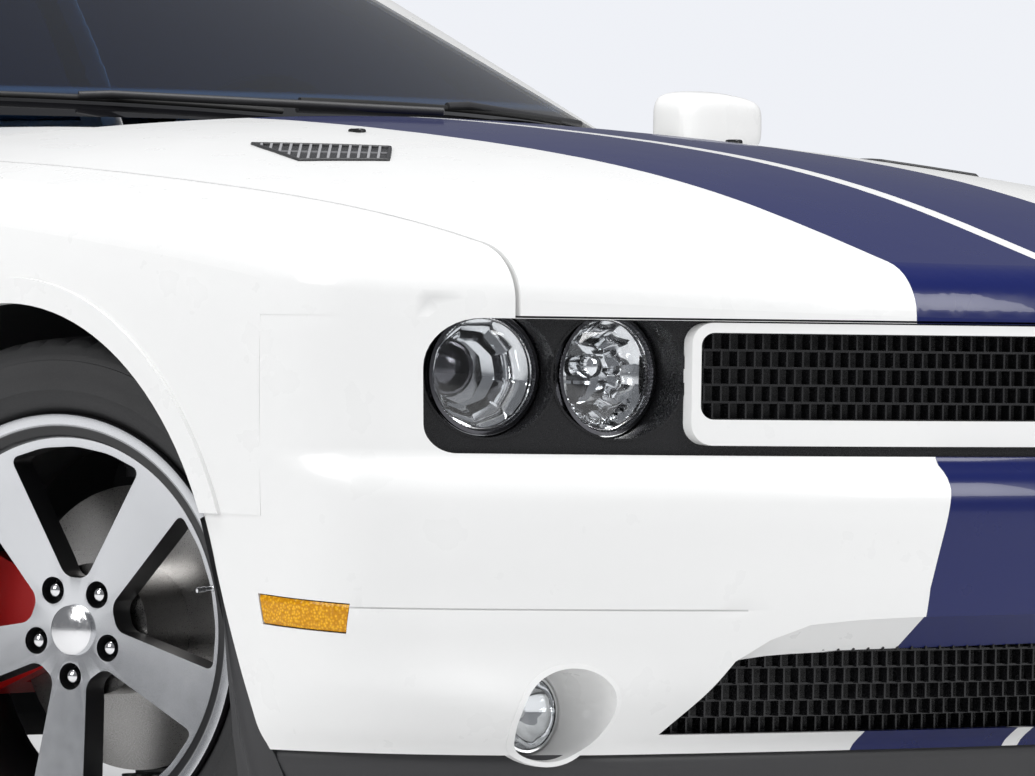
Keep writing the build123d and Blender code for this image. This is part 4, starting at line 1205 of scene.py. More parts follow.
@dataclass
class Wheel(Assembly):
    """Tyre with tread, and finishes, nuts and cap of the rim.

    Attributes:
        end: front or rear.
        side: side of the car.
        track: half track.
        radius: rolling radius.
        kingpin: distance of the kingpins from the middle.
        steer: turn of the front wheels at rest, in degrees.
        axles: X of the axles.
        crown: height of the tread's crown over its shoulders.
        groove: width and depth of the tread's grooves.
        groove_at: distances of the grooves from the tyre's middle.
        shoulder: distance of the tread's shoulder from the tyre's middle.
        steps: steps of a tyre's turn.
        hub_face: height of the hub's face above the wheel's middle plane.
        nut_circle: radius of the circle of wheel nuts.
        nut_phase: angle of the first nut, in degrees.
    """

    end: str
    side: Side
    track: float = 0.796
    radius: float = 0.364
    kingpin: float = 0.730
    steer: float = 15.0
    axles: dict[str, float] = field(default_factory=lambda: {"front": 1.546, "rear": -1.400})
    crown: float = 0.003
    groove: Pair = (0.009, 0.007)
    groove_at: tuple[float, ...] = (0.020, 0.058)
    shoulder: float = 0.0905
    steps: int = 300
    hub_face: float = 0.085
    nut_circle: float = 0.0575
    nut_phase: float = 51.0

    @property
    def tag(self) -> str:
        """End of the pieces' and nodes' names."""
        return f"{self.end}_{self.side.word}"

    def pose(self) -> tuple[Vector, Vector, Vector]:
        """Where the wheel is at rest.

        Returns:
            Its centre, outward axis and forward direction.
        """
        angle = math.radians(self.steer if self.end == "front" else 0.0)
        s = self.side.value
        arm = self.track - self.kingpin
        centre = Vector((self.axles[self.end] - s * arm * math.sin(angle),
                         s * (self.kingpin + arm * math.cos(angle)), self.radius))
        axis = Vector((-s * math.sin(angle), s * math.cos(angle), 0.0))
        return centre, axis, Vector((math.cos(angle), math.sin(angle), 0.0))

    @property
    def matrix(self) -> Matrix:
        """Place of the wheel, local Z outwards and local X forward."""
        centre, axis, ahead = self.pose()
        turned = Matrix((ahead, axis.cross(ahead), axis)).transposed().to_4x4()
        return Matrix.Translation(centre) @ turned

    def tread(self) -> list[Pair]:
        """Half outline of a tyre, from its middle out to the bead.

        Returns:
            Points of radius and distance from the middle.
        """
        width, depth = self.groove

        def crown(z: float) -> float:
            """Radius of the tread at a distance from its middle."""
            return self.radius - self.crown * (z / self.shoulder) ** 2

        points = [(crown(0.0), 0.0)]
        for z in self.groove_at:
            lo, hi = z - width / 2, z + width / 2
            points += [(crown(lo), lo), (crown(lo) - depth, lo + 0.0012), (crown(hi) - depth, hi - 0.0012),
                       (crown(hi), hi)]
        points += [(crown(0.074), 0.074), (self.radius - self.crown, self.shoulder), (0.3585, 0.1025),
                   (0.350, 0.1105), (0.342, 0.1150), (0.3405, 0.1162), (0.334, 0.1185), (0.3335, 0.1195),
                   (0.3195, 0.1222), (0.3155, 0.1225), (0.300, 0.1215), (0.2990, 0.1222), (0.2965, 0.1222),
                   (0.2955, 0.1212), (0.284, 0.1180), (0.2775, 0.1140), (0.2735, 0.1105), (0.2695, 0.1040),
                   (0.2635, 0.0985)]
        return points

    def tyre(self) -> None:
        """Tyre with grooves and shoulder blocks in place of the CAD's smooth one."""
        half = self.tread()
        outline = [(r, -z) for r, z in reversed(half[1:])] + half

        def block(angle: float, radius: float, height: float) -> float:
            """Radius less the depth of the slots between the tread's blocks.

            Args:
                angle: angle about the axis.
                radius: radius before.
                height: height along the axis.

            Returns:
                The new radius.
            """
            step = int(angle / math.tau * self.steps + 0.5)
            if radius > 0.3545 and 0.064 < abs(height) < 0.106 and step % 5 == 0:
                return radius - 0.005
            if radius > 0.362 and 0.024 < abs(height) < 0.053 and (step + 2) % 10 == 0:
                return radius - 0.003
            return radius

        piece = Sculpt(f"tread_{self.tag}")
        piece.lathe(outline, self.steps, self.matrix, block)
        piece.finish(self.looks["tyre"], f"wheel_{self.tag}", (f"tyre_{self.tag}",), sharp=40)

    def fittings(self) -> None:
        """Domed plain cap, wheel nuts and valve."""
        bright, tag, at = self.looks["bright"], self.tag, self.matrix
        h = self.hub_face
        cap = Sculpt(f"wheel_cap_{tag}")
        cap.lathe(((0.0, h + 0.0065), (0.010, h + 0.0062), (0.019, h + 0.0048), (0.0255, h + 0.0026),
                   (0.0285, h + 0.0022), (0.0305, h + 0.0010), (0.0312, h - 0.004)), 64, at)
        cap.finish(bright, f"wheel_{tag}", sharp=50)
        nuts = Sculpt(f"wheel_nuts_{tag}")
        for i in range(5):
            around = -self.side.value * (self.nut_phase + 72 * i)
            spot = at @ turn(around, "Z") @ place_at(self.nut_circle, 0, h - 0.016)
            nuts.lathe(((0.0, -0.010), (0.0105, -0.010), (0.0105, 0.004), (0.0092, 0.006)), 6, spot)
            nuts.lathe(((0.0092, 0.005), (0.0080, 0.0095), (0.0048, 0.0120), (0.0, 0.0128)), 24, spot)
        nuts.finish(bright, f"wheel_{tag}", sharp=30)
        valve = Sculpt(f"valve_{tag}")
        valve.lathe(((0.0, 0.034), (0.0035, 0.033), (0.004, 0.022), (0.003, 0.021), (0.003, 0.0)), 16,
                    at @ turn(15, "Z") @ place_at(0.232, 0, 0.085) @ turn(-25, "Y"))
        valve.finish(bright, f"wheel_{tag}")

    def build(self) -> None:
        """Build and dress the wheel."""
        centre, axis, ahead = self.pose()
        self.tyre()
        self.fittings()
        alloy = WheelAlloy(f"alloy_{self.tag}", tuple(centre), tuple(axis)).build()
        Rim().build(self.tag, self.matrix, -self.side.value, alloy)
        dress(self.looks["iron"], f"disc_{self.tag}")
        dress(Caliper(f"caliper_{self.tag}", tuple(centre), tuple(ahead)).build(), f"knuckle_{self.tag}")


@dataclass
class Nose(Assembly):
    """Front fascia with its openings, lamp band, grilles, chin and side markers.

    Attributes:
        rows: height, foremost X, front radius, corner radius and half width of the fascia.
        top: height of its upper edge.
        chin_top, chin_low, chin_rear: heights of the chin spoiler's edges and X of its ends.
        skin: thickness of the fascia.
        crease, crease_size: height and depth of the fine line across the bumper's ends.
        crease_from, crease_x: distance from the middle and X where that line starts.
        band: half width, lower and upper height of the lamp band.
        band_depth, band_row: depth of its panel and its plan curve.
        band_top_r, band_low_r: radii of its upper and lower corners.
        seam: rear end and height of the seam with the fender.
        rear: X where the skin starts before it is cut.
        arch: X, height and radius of the wheel arch.
        rear_edge: X and height of both ends of the rear edge below the seam.
        brow, intake: distance from the middle and height along both edges of the slope over the intake.
        brow_slope: run of that slope for a rise of one.
        fog: X, distance from the middle and height of a fog lamp.
        fog_r, fog_rim, fog_lamp_r: radius of its opening, width of the rim and radius of the lamp.
        marker: X and height of a side marker's corners.
        frame, opening: half width, lower and upper height and corner radius of the grille frame's sides.
        frame_depths: distances of its face and back behind the band's curve.
        cell, bar, bar_depth: size of a grille cell, thickness and depth of its bars.
    """

    rows: tuple[tuple[float, ...], ...] = (
        (0.165, 2.340, 3.40, 0.38, 0.908),
        (0.238, 2.348, 3.40, 0.38, 0.9195),
        (0.270, 2.388, 2.60, 0.32, 0.9225),
        (0.330, 2.462, 1.70, 0.25, 0.931),
        (0.404, 2.491, 1.524, 0.23, 0.938),
        (0.480, 2.503, 1.524, 0.23, 0.942),
        (0.545, 2.509, 1.524, 0.23, 0.9455),
        (0.574, 2.499, 1.524, 0.23, 0.947),
        (0.592, 2.480, 1.524, 0.23, 0.948),
        (0.610, 2.478, 1.524, 0.23, 0.948),
        (0.740, 2.474, 1.524, 0.23, 0.950),
        (0.765, 2.474, 1.524, 0.23, 0.9485),
    )
    top: float = 0.7595
    chin_top: float = 0.238
    chin_low: float = 0.166
    chin_rear: float = 1.995
    skin: float = 0.012
    crease: float = 0.4135
    crease_size: float = 0.0014
    crease_from: float = 0.50
    crease_x: float = 2.16
    band: Triple = (0.852, 0.598, 0.759)
    band_depth: float = 0.018
    band_top_r: float = 0.060
    band_low_r: float = 0.034
    band_row: Plan = Plan(2.476, 1.524, 0.23, 0.949)
    seam: Pair = (2.029, 0.519)
    rear: float = 1.892
    arch: Triple = (1.549, 0.364, 0.403)
    rear_edge: tuple[Pair, ...] = ((1.922, 0.519), (2.010, 0.238))
    brow: tuple[Pair, ...] = ((0.0, 0.408), (0.276, 0.405), (0.352, 0.402), (0.418, 0.396), (0.466, 0.378),
                              (0.505, 0.352), (0.562, 0.262))
    intake: tuple[Pair, ...] = ((0.0, 0.369), (0.276, 0.364), (0.440, 0.357), (0.500, 0.352),
                                (0.562, 0.262))
    brow_slope: float = 1.09
    fog: Triple = (2.232, 0.694, 0.287)
    fog_r: float = 0.057
    fog_rim: float = 0.006
    fog_lamp_r: float = 0.0470
    marker: tuple[Pair, ...] = ((2.020, 0.426), (2.027, 0.389), (2.151, 0.382), (2.158, 0.418))
    frame: tuple[float, float, float, float] = (0.558, 0.610, 0.757, 0.026)
    opening: tuple[float, float, float, float] = (0.547, 0.641, 0.745, 0.016)
    frame_depths: Pair = (0.004, 0.018)
    cell: float = 0.0206
    bar: float = 0.0028
    bar_depth: float = 0.014

    def plan(self, z: float, off: float = 0.0) -> Plan:
        """Plan curve of the fascia at a height."""
        return Plan(*eased(self.rows, z)).grown(off)

    def surface(self, u: float, z: float, rear: float, off: float = 0.0) -> Vector:
        """Point of the fascia's skin, from the right end to the left end.

        Args:
            u: share from 0 to 1 along the curve.
            z: height.
            rear: X where both ends stop.
            off: distance outside the skin.

        Returns:
            The point.
        """
        side = 1 if u > 0.5 else -1
        x, y = self.plan(z, off).at(abs(2 * u - 1) * 3, rear)
        return Vector((x, side * y, z))

    def slab(self) -> Sculpt:
        """Sheet of the fascia's skin with its thickness.

        Returns:
            The piece.
        """
        rows = 70
        heights = [self.chin_top + (self.top - self.chin_top) * i / rows for i in range(rows + 1)]
        line = min(range(rows + 1), key=lambda i: abs(heights[i] - self.crease))
        for step in (-1, 0, 1):
            heights[line + step] = self.crease + step * self.crease_size

        def shape(u: float, v: float) -> Vector:
            """Point of the skin, with the fine crease pressed into its ends.

            Args:
                u: share from the right to the left.
                v: share up.

            Returns:
                The point.
            """
            row = round(v * rows)
            point = self.surface(u, heights[row], self.rear)
            if row == line and abs(point.y) > self.crease_from and point.x > self.crease_x:
                return self.surface(u, heights[row], self.rear, -self.crease_size)
            return point

        piece = Sculpt("nose_skin")
        piece.sheet(180, rows, shape)
        piece.thicken(self.skin)
        return piece

    def along_x(self, outline: Sequence[Pair], radius: float = 0.0) -> Sculpt:
        """Cutter of an outline seen from the front.

        Args:
            outline: distance from the middle and height of its corners.
            radius: radius of its corners.

        Returns:
            The cutter.
        """
        ahead = Matrix(((0, 0, 1, 0), (1, 0, 0, 0), (0, 1, 0, 0), (0, 0, 0, 1)))
        tool = Sculpt("tool")
        tool.prism(outline, 1.7, 2.7, ahead, radius, 8)
        return tool

    def along_y(self, outline: Sequence[Pair], y0: float, y1: float) -> Sculpt:
        """Cutter of an outline seen from the side.

        Args:
            outline: X and height of its corners.
            y0: Y where it starts.
            y1: Y where it ends.

        Returns:
            The cutter.
        """
        across = Matrix(((1, 0, 0, 0), (0, 0, 1, 0), (0, 1, 0, 0), (0, 0, 0, 1)))
        tool = Sculpt("tool")
        tool.prism(outline, y0, y1, across)
        return tool

    def round_hole(self, radius: float, low: float, high: float, steps: int, at: Matrix) -> Sculpt:
        """Cutter of a round hole.

        Args:
            radius: its radius.
            low: height where it starts.
            high: height where it ends.
            steps: steps of its turn.
            at: place of its local frame.

        Returns:
            The cutter.
        """
        tool = Sculpt("tool")
        tool.lathe(((0, low), (radius, low), (radius, high), (0, high)), steps, at)
        return tool

    def wall(self, name: str, cells: tuple[int, int], curve: Plan, half: float, low: float,
             rise: float, depth: float) -> Sculpt:
        """Upright wall on a plan curve.

        Args:
            name: name of the piece.
            cells: cells along the curve and up the wall.
            curve: its plan curve.
            half: half width.
            low: lower height.
            rise: height of the wall.
            depth: thickness.

        Returns:
            The piece.
        """
        piece = Sculpt(name)
        piece.sheet(*cells, lambda u, v: Vector((curve.x_at((2 * u - 1) * half), (2 * u - 1) * half,
                                                 low + v * rise)))
        piece.thicken(depth)
        return piece

    def window(self, half: float, z0: float, z1: float, radius: float) -> Sculpt:
        """Cutter of a rounded window seen from the front."""
        return self.along_x([(-half, z0), (half, z0), (half, z1), (-half, z1)], radius)

    def fascia(self) -> None:
        """Painted fascia with its openings."""
        piece = self.slab()
        piece.cut(self.rounded_band())
        piece.cut(self.along_x([(-y, z) for y, z in reversed(self.brow[1:])] + list(self.brow)))
        x, y, z = self.fog
        for side in Side:
            s = side.value
            piece.cut(self.round_hole(self.fog_r, -0.3, 0.3, 48, place_at(x, s * y, z) @ turn(90, "Y")))
            piece.cut(self.along_y(self.marker, *sorted((s * 0.7, s * 1.1))))
        ax, az, ar = self.arch
        mouth = [(ax - ar, 0.1), (self.low_edge(0.1), 0.1), (self.low_edge(self.seam[1]), self.seam[1]),
                 (ax - ar, self.seam[1])]
        piece.cut(self.along_y(mouth, -1.1, 1.1))
        piece.cut(self.round_hole(ar, -1.1, 1.1, 96, place_at(ax, 0, az) @ turn(90, "X")))
        x, z = self.seam
        piece.cut(self.along_y([(1.5, z), (x, z), (x, 1.0), (1.5, 1.0)], -1.1, 1.1))
        piece.finish(self.looks["striped"], replaces=("front_fascia",))

    def low_edge(self, z: float) -> float:
        """X of the fascia's straight rear edge below the seam."""
        (x0, z0), (x1, z1) = self.rear_edge
        return x0 + (x1 - x0) * (z - z0) / (z1 - z0)

    def rounded_band(self) -> Sculpt:
        """Cutter of the lamp band, with larger corners above than below.

        Returns:
            The cutter.
        """
        half, z0, z1 = self.band
        points = []
        for cy, cz, r, start in ((half - self.band_low_r, z0 + self.band_low_r, self.band_low_r, -90),
                                 (half - self.band_top_r, z1 - self.band_top_r, self.band_top_r, 0)):
            angles = [math.radians(start + a) for a in range(0, 91, 9)]
            points += [(cy + r * math.cos(a), cz + r * math.sin(a)) for a in angles]
        return self.along_x(points + [(-y, z) for y, z in reversed(points)])

    def shoulders(self) -> None:
        """Tops of the fascia's corners beside the hood, as in the CAD."""
        piece = Sculpt("nose_shoulders")
        piece.bm.from_mesh(frame["nodes"]["front_fascia"].data)
        bmesh.ops.remove_doubles(piece.bm, verts=piece.bm.verts[:], dist=1e-5)
        bmesh.ops.bisect_plane(piece.bm, geom=piece.bm.verts[:] + piece.bm.edges[:] + piece.bm.faces[:],
                               plane_co=(0, 0, self.top), plane_no=(0, 0, 1), clear_inner=True)
        piece.finish(self.looks["striped"])

    def brow_face(self) -> None:
        """Sloped underside of the bumper above the lower intake."""
        def along(points: Sequence[Pair], share: float) -> Pair:
            """Point at a share of a line's length.

            Args:
                points: the line.
                share: share from 0 to 1.

            Returns:
                Distance from the middle and height.
            """
            lengths = [math.dist(a, b) for a, b in zip(points, points[1:])]
            left = share * sum(lengths)
            for (a, b), step in zip(zip(points, points[1:]), lengths):
                if left <= step:
                    return a[0] + (b[0] - a[0]) * left / step, a[1] + (b[1] - a[1]) * left / step
                left -= step
            return points[-1]

        def shape(u: float, v: float) -> Vector:
            """Point of the slope.

            Args:
                u: share from the right to the left.
                v: share from the outer edge inwards.

            Returns:
                The point.
            """
            side = 1 if u > 0.5 else -1
            share = abs(2 * u - 1)
            y0, z0 = along(self.brow, share)
            y1, z1 = along(self.intake, share)
            x = self.plan(z0).x_at(y0) - self.brow_slope * (z0 - z1) * v - 0.002 - 0.004 * v
            return Vector((x, side * (y0 + (y1 - y0) * v), z0 + (z1 - z0) * v + 0.001))

        piece = Sculpt("nose_brow")
        piece.sheet(96, 4, shape)
        piece.thicken(0.004)
        piece.finish(self.looks["striped"])

    def bars(self, name: str, half: float, z0: float, z1: float, off: float, plan: Callable[[float], Plan],
             replaces: Sequence[str] = ()) -> None:
        """Grille of offset cells that follows a plan curve.

        Args:
            name: object name.
            half: half width.
            z0: lower edge.
            z1: upper edge.
            off: distance of its face behind the curve.
            plan: plan curve at a height.
            replaces: CAD nodes that it stands for.
        """
        piece = Sculpt(name)
        rows = round((z1 - z0) / self.cell)
        high = (z1 - z0) / rows
        count = int(half / self.cell)
        for row in range(rows + 1):
            z = z0 + row * high
            curve = plan(z).grown(-off)
            before = set(piece.bm.verts)
            piece.sheet(72, 1, lambda u, v: Vector((curve.x_at((2 * u - 1) * half) - v * self.bar_depth,
                                                    (2 * u - 1) * half, z - self.bar / 2)))
            flat = list({f for v in piece.fresh(before) for f in v.link_faces})
            grown = bmesh.ops.extrude_face_region(piece.bm, geom=flat)
            top = [g for g in grown["geom"] if isinstance(g, bmesh.types.BMVert)]
            bmesh.ops.translate(piece.bm, vec=(0, 0, self.bar), verts=top)
            if row == rows:
                break
            middle = plan(z + high / 2).grown(-off)
            for i in range(-count, count + 1):
                y = (i + (0.25 if row % 2 else -0.25)) * self.cell
                if abs(y) < half:
                    x = middle.x_at(y) - self.bar_depth / 2
                    piece.brick((self.bar_depth, self.bar, high), place_at(x, y, z + high / 2))
        piece.finish(self.looks["black"], replaces=replaces, sharp=50)

    def grille(self) -> None:
        """Painted frame with its mesh, and the mesh of the lower intake."""
        near, far = self.frame_depths
        half, z0, z1, radius = self.frame
        piece = self.wall("grille_surround", (80, 12), self.band_row.grown(-near), 0.6, 0.59, 0.18,
                          far - near)
        piece.cut(self.window(half, z0, z1, radius), Cut.KEEP)
        piece.cut(self.window(*self.opening))
        soften(piece.finish(self.looks["white"], replaces=("grille_frame",)), 0.0025, 3, 30)
        half, z0, z1, _ = self.opening
        self.bars("grille_mesh", half + 0.004, z0, z1, self.band_depth + 0.004, lambda z: self.band_row,
                  ("grille_inserts",))
        self.bars("intake_mesh", self.brow[-1][0], self.brow[-1][1], 0.404, 0.040, self.plan)
        for name, curve, half, low, rise in (
                ("intake_back", self.plan(0.33).grown(-0.150), 0.6, 0.255, 0.165),
                ("grille_back", self.band_row.grown(-0.075), 0.57, 0.62, 0.135)):
            self.wall(name, (60, 2), curve, half, low, rise, 0.004).finish(self.looks["black"])

    def band_panel(self, lamps: Sequence["Lamp"]) -> None:
        """Black panel behind the band, with a cup round each lamp.

        Args:
            lamps: the lamps of both sides.
        """
        face = self.band_row.grown(-self.band_depth)
        half, z0, z1 = self.band
        lap = 0.006
        piece = self.wall("band_panel", (120, 12), face, half + lap, z0 - lap, z1 - z0 + lap, 0.006)
        piece.cut(self.window(*self.opening))
        for lamp in lamps:
            piece.cut(self.round_hole(lamp.radius + 0.0015, -0.2, 0.3, 64, lamp.matrix))
        piece.finish(self.looks["black"], replaces=("lamp_panel",))
        for lamp in lamps:
            self.cup(lamp, face)

    def cup(self, lamp: "Lamp", face: Plan) -> None:
        """Tube from a lamp's rim forward to the band's panel.

        Args:
            lamp: the lamp.
            face: plan curve of the panel's face.
        """
        place = lamp.matrix

        def shape(u: float, v: float) -> Vector:
            """Point of the tube, which runs out and back over its own wall.

            Args:
                u: share of a turn.
                v: share along the tube.

            Returns:
                The point.
            """
            angle = u * math.tau
            step = min(3, int(v * 3 + 0.5))
            r = lamp.radius + (0.0008, 0.0008, 0.0035, 0.0035)[step]
            flat = Vector((r * math.cos(angle), r * math.sin(angle), -0.018, 1.0))
            reach = 0.0
            for _ in range(6):
                point = place @ Vector((flat.x, flat.y, reach, 1.0))
                reach += (face.x_at(point.y) + 0.0015 - point.x) / math.cos(math.radians(lamp.yaw))
            height = (-0.018, max(reach, -0.01), max(reach, -0.01), -0.018)[step]
            point = place @ Vector((flat.x, flat.y, height, 1.0))
            return Vector((point.x, point.y, min(point.z, self.band[2] + 0.001)))

        piece = Sculpt(f"lamp_cup_{lamp.tag}")
        piece.sheet(64, 3, shape)
        piece.finish(self.looks["black"])

    def fogs(self) -> None:
        """Fog lamps in their round sleeves."""
        x, y, z = self.fog
        for side in Side:
            def shape(u: float, v: float) -> Vector:
                """Point of the sleeve, from the lamp out to its rim.

                Args:
                    u: share of a turn.
                    v: share outwards.

                Returns:
                    The point.
                """
                angle = u * math.tau
                step = min(3, int(v * 3 + 0.5))
                r = (self.fog_lamp_r, self.fog_r, self.fog_r + self.fog_rim, self.fog_r + self.fog_rim)[step]
                py, pz = y + r * math.cos(angle), z + r * math.sin(angle)
                front = self.plan(max(pz, self.chin_top)).x_at(py)
                px = (x - 0.03, front + 0.002, front + 0.001, front - 0.02)[step]
                return Vector((px, side.value * py, pz))

            sleeve = Sculpt(f"fog_sleeve_{side.word}")
            sleeve.sheet(64, 3, shape)
            sleeve.finish(self.looks["white"])
            at = place_at(x, side.value * y, z) @ turn(90, "Y")
            r = self.fog_lamp_r + 0.0004
            bowl = Sculpt(f"fog_bowl_{side.word}")
            bowl.lathe(((r, 0.001), (r - 0.003, 0.001), (r - 0.005, -0.004), (0.038, -0.012), (0.028, -0.022),
                        (0.016, -0.029), (0.0, -0.031)), 64, at,
                       lambda a, q, h: q * (1 + 0.03 * abs(math.sin(5 * a))) if 0.012 < q < 0.043 else q)
            bowl.finish(self.looks["chrome"], replaces=("fog_lamps",) if side is Side.LEFT else ())
            bulb = Sculpt(f"fog_bulb_{side.word}")
            bulb.lathe(((0.0, -0.012), (0.006, -0.0125), (0.0105, -0.016), (0.0105, -0.027),
                        (0.0085, -0.030)), 32, at)
            bulb.finish(self.looks["chrome"])
            lens = Sculpt(f"fog_lens_{side.word}")
            lens.lathe(((0.0, 0.0075), (0.016, 0.0070), (0.030, 0.0052), (0.040, 0.0022), (0.0440, -0.001),
                        (0.0420, -0.001), (0.029, 0.0035), (0.016, 0.0052), (0.0, 0.0057)), 64, at)
            lens.finish(self.looks["lens"])

    def chin(self) -> None:
        """Black chin spoiler and the dark trim in front of the arches."""
        piece = Sculpt("chin_skirt")

        def shape(u: float, v: float) -> Vector:
            """Point of the spoiler, tucked in below and under its upper edge.

            Args:
                u: share from the right to the left.
                v: share up.

            Returns:
                The point.
            """
            z = self.chin_low + v * (self.chin_top - self.chin_low)
            tuck = -0.003 - 0.010 * (1 - v) ** 2 - 0.006 * max(0.0, (v - 0.85) / 0.15)
            return self.surface(u, z, self.chin_rear, tuck)

        piece.sheet(180, 12, shape)
        piece.thicken(0.012)
        piece.finish(self.looks["satin"], replaces=("chin_spoiler",))
        ax, az, ar = self.arch
        for side in Side:
            def patch(u: float, v: float) -> Vector:
                """Point of the trim between the arch and the fascia's edge.

                Args:
                    u: share forwards.
                    v: share up.

                Returns:
                    The point.
                """
                z = self.chin_low + v * (self.seam[1] - 0.004 - self.chin_low)
                x0 = ax + math.sqrt(ar * ar - max(0.0, z - az) ** 2)
                x = x0 + u * (self.low_edge(z) + 0.001 - x0)
                ridge = 0.003 * math.exp(-((u - 0.35) / 0.08) ** 2)
                return Vector((x, side.value * self.plan(z, -0.0020 + ridge).y_at(x), z))

            trim = Sculpt(f"arch_trim_{side.word}")
            trim.sheet(24, 16, patch)
            trim.thicken(0.010)
            trim.finish(self.looks["satin"])

    def markers(self) -> None:
        """Amber side markers let into the fascia."""
        (x0, z0), (x1, z1), (x2, z2), (x3, z3) = self.marker
        gap = 0.010
        for side in Side:
            def shape(u: float, v: float) -> Vector:
                """Point of the lens, with its upper and lower edges rolled in.

                Args:
                    u: share forwards.
                    v: share up.

                Returns:
                    The point.
                """
                u, v = gap + u * (1 - 2 * gap), 0.04 + v * 0.92
                low = (x1 + (x2 - x1) * u, z1 + (z2 - z1) * u)
                high = (x0 + (x3 - x0) * u, z0 + (z3 - z0) * u)
                x, z = low[0] + (high[0] - low[0]) * v, low[1] + (high[1] - low[1]) * v
                edge = min(1.0, min(v, 1 - v) / 0.12)
                return Vector((x, side.value * self.plan(z, -0.0035 + 0.0025 * edge).y_at(x), z))

            piece = Sculpt(f"marker_{side.word}")
            piece.sheet(30, 10, shape)
            piece.thicken(0.008)
            piece.finish(self.looks["amber"], replaces=("side_markers",) if side is Side.LEFT else ())

    def build(self, lamps: Sequence["Lamp"]) -> None:
        """Build the nose.

        Args:
            lamps: the lamps of both sides.
        """
        self.fascia()
        self.shoulders()
        self.brow_face()
        self.grille()
        self.band_panel(lamps)
        self.fogs()
        self.chin()
        self.markers()


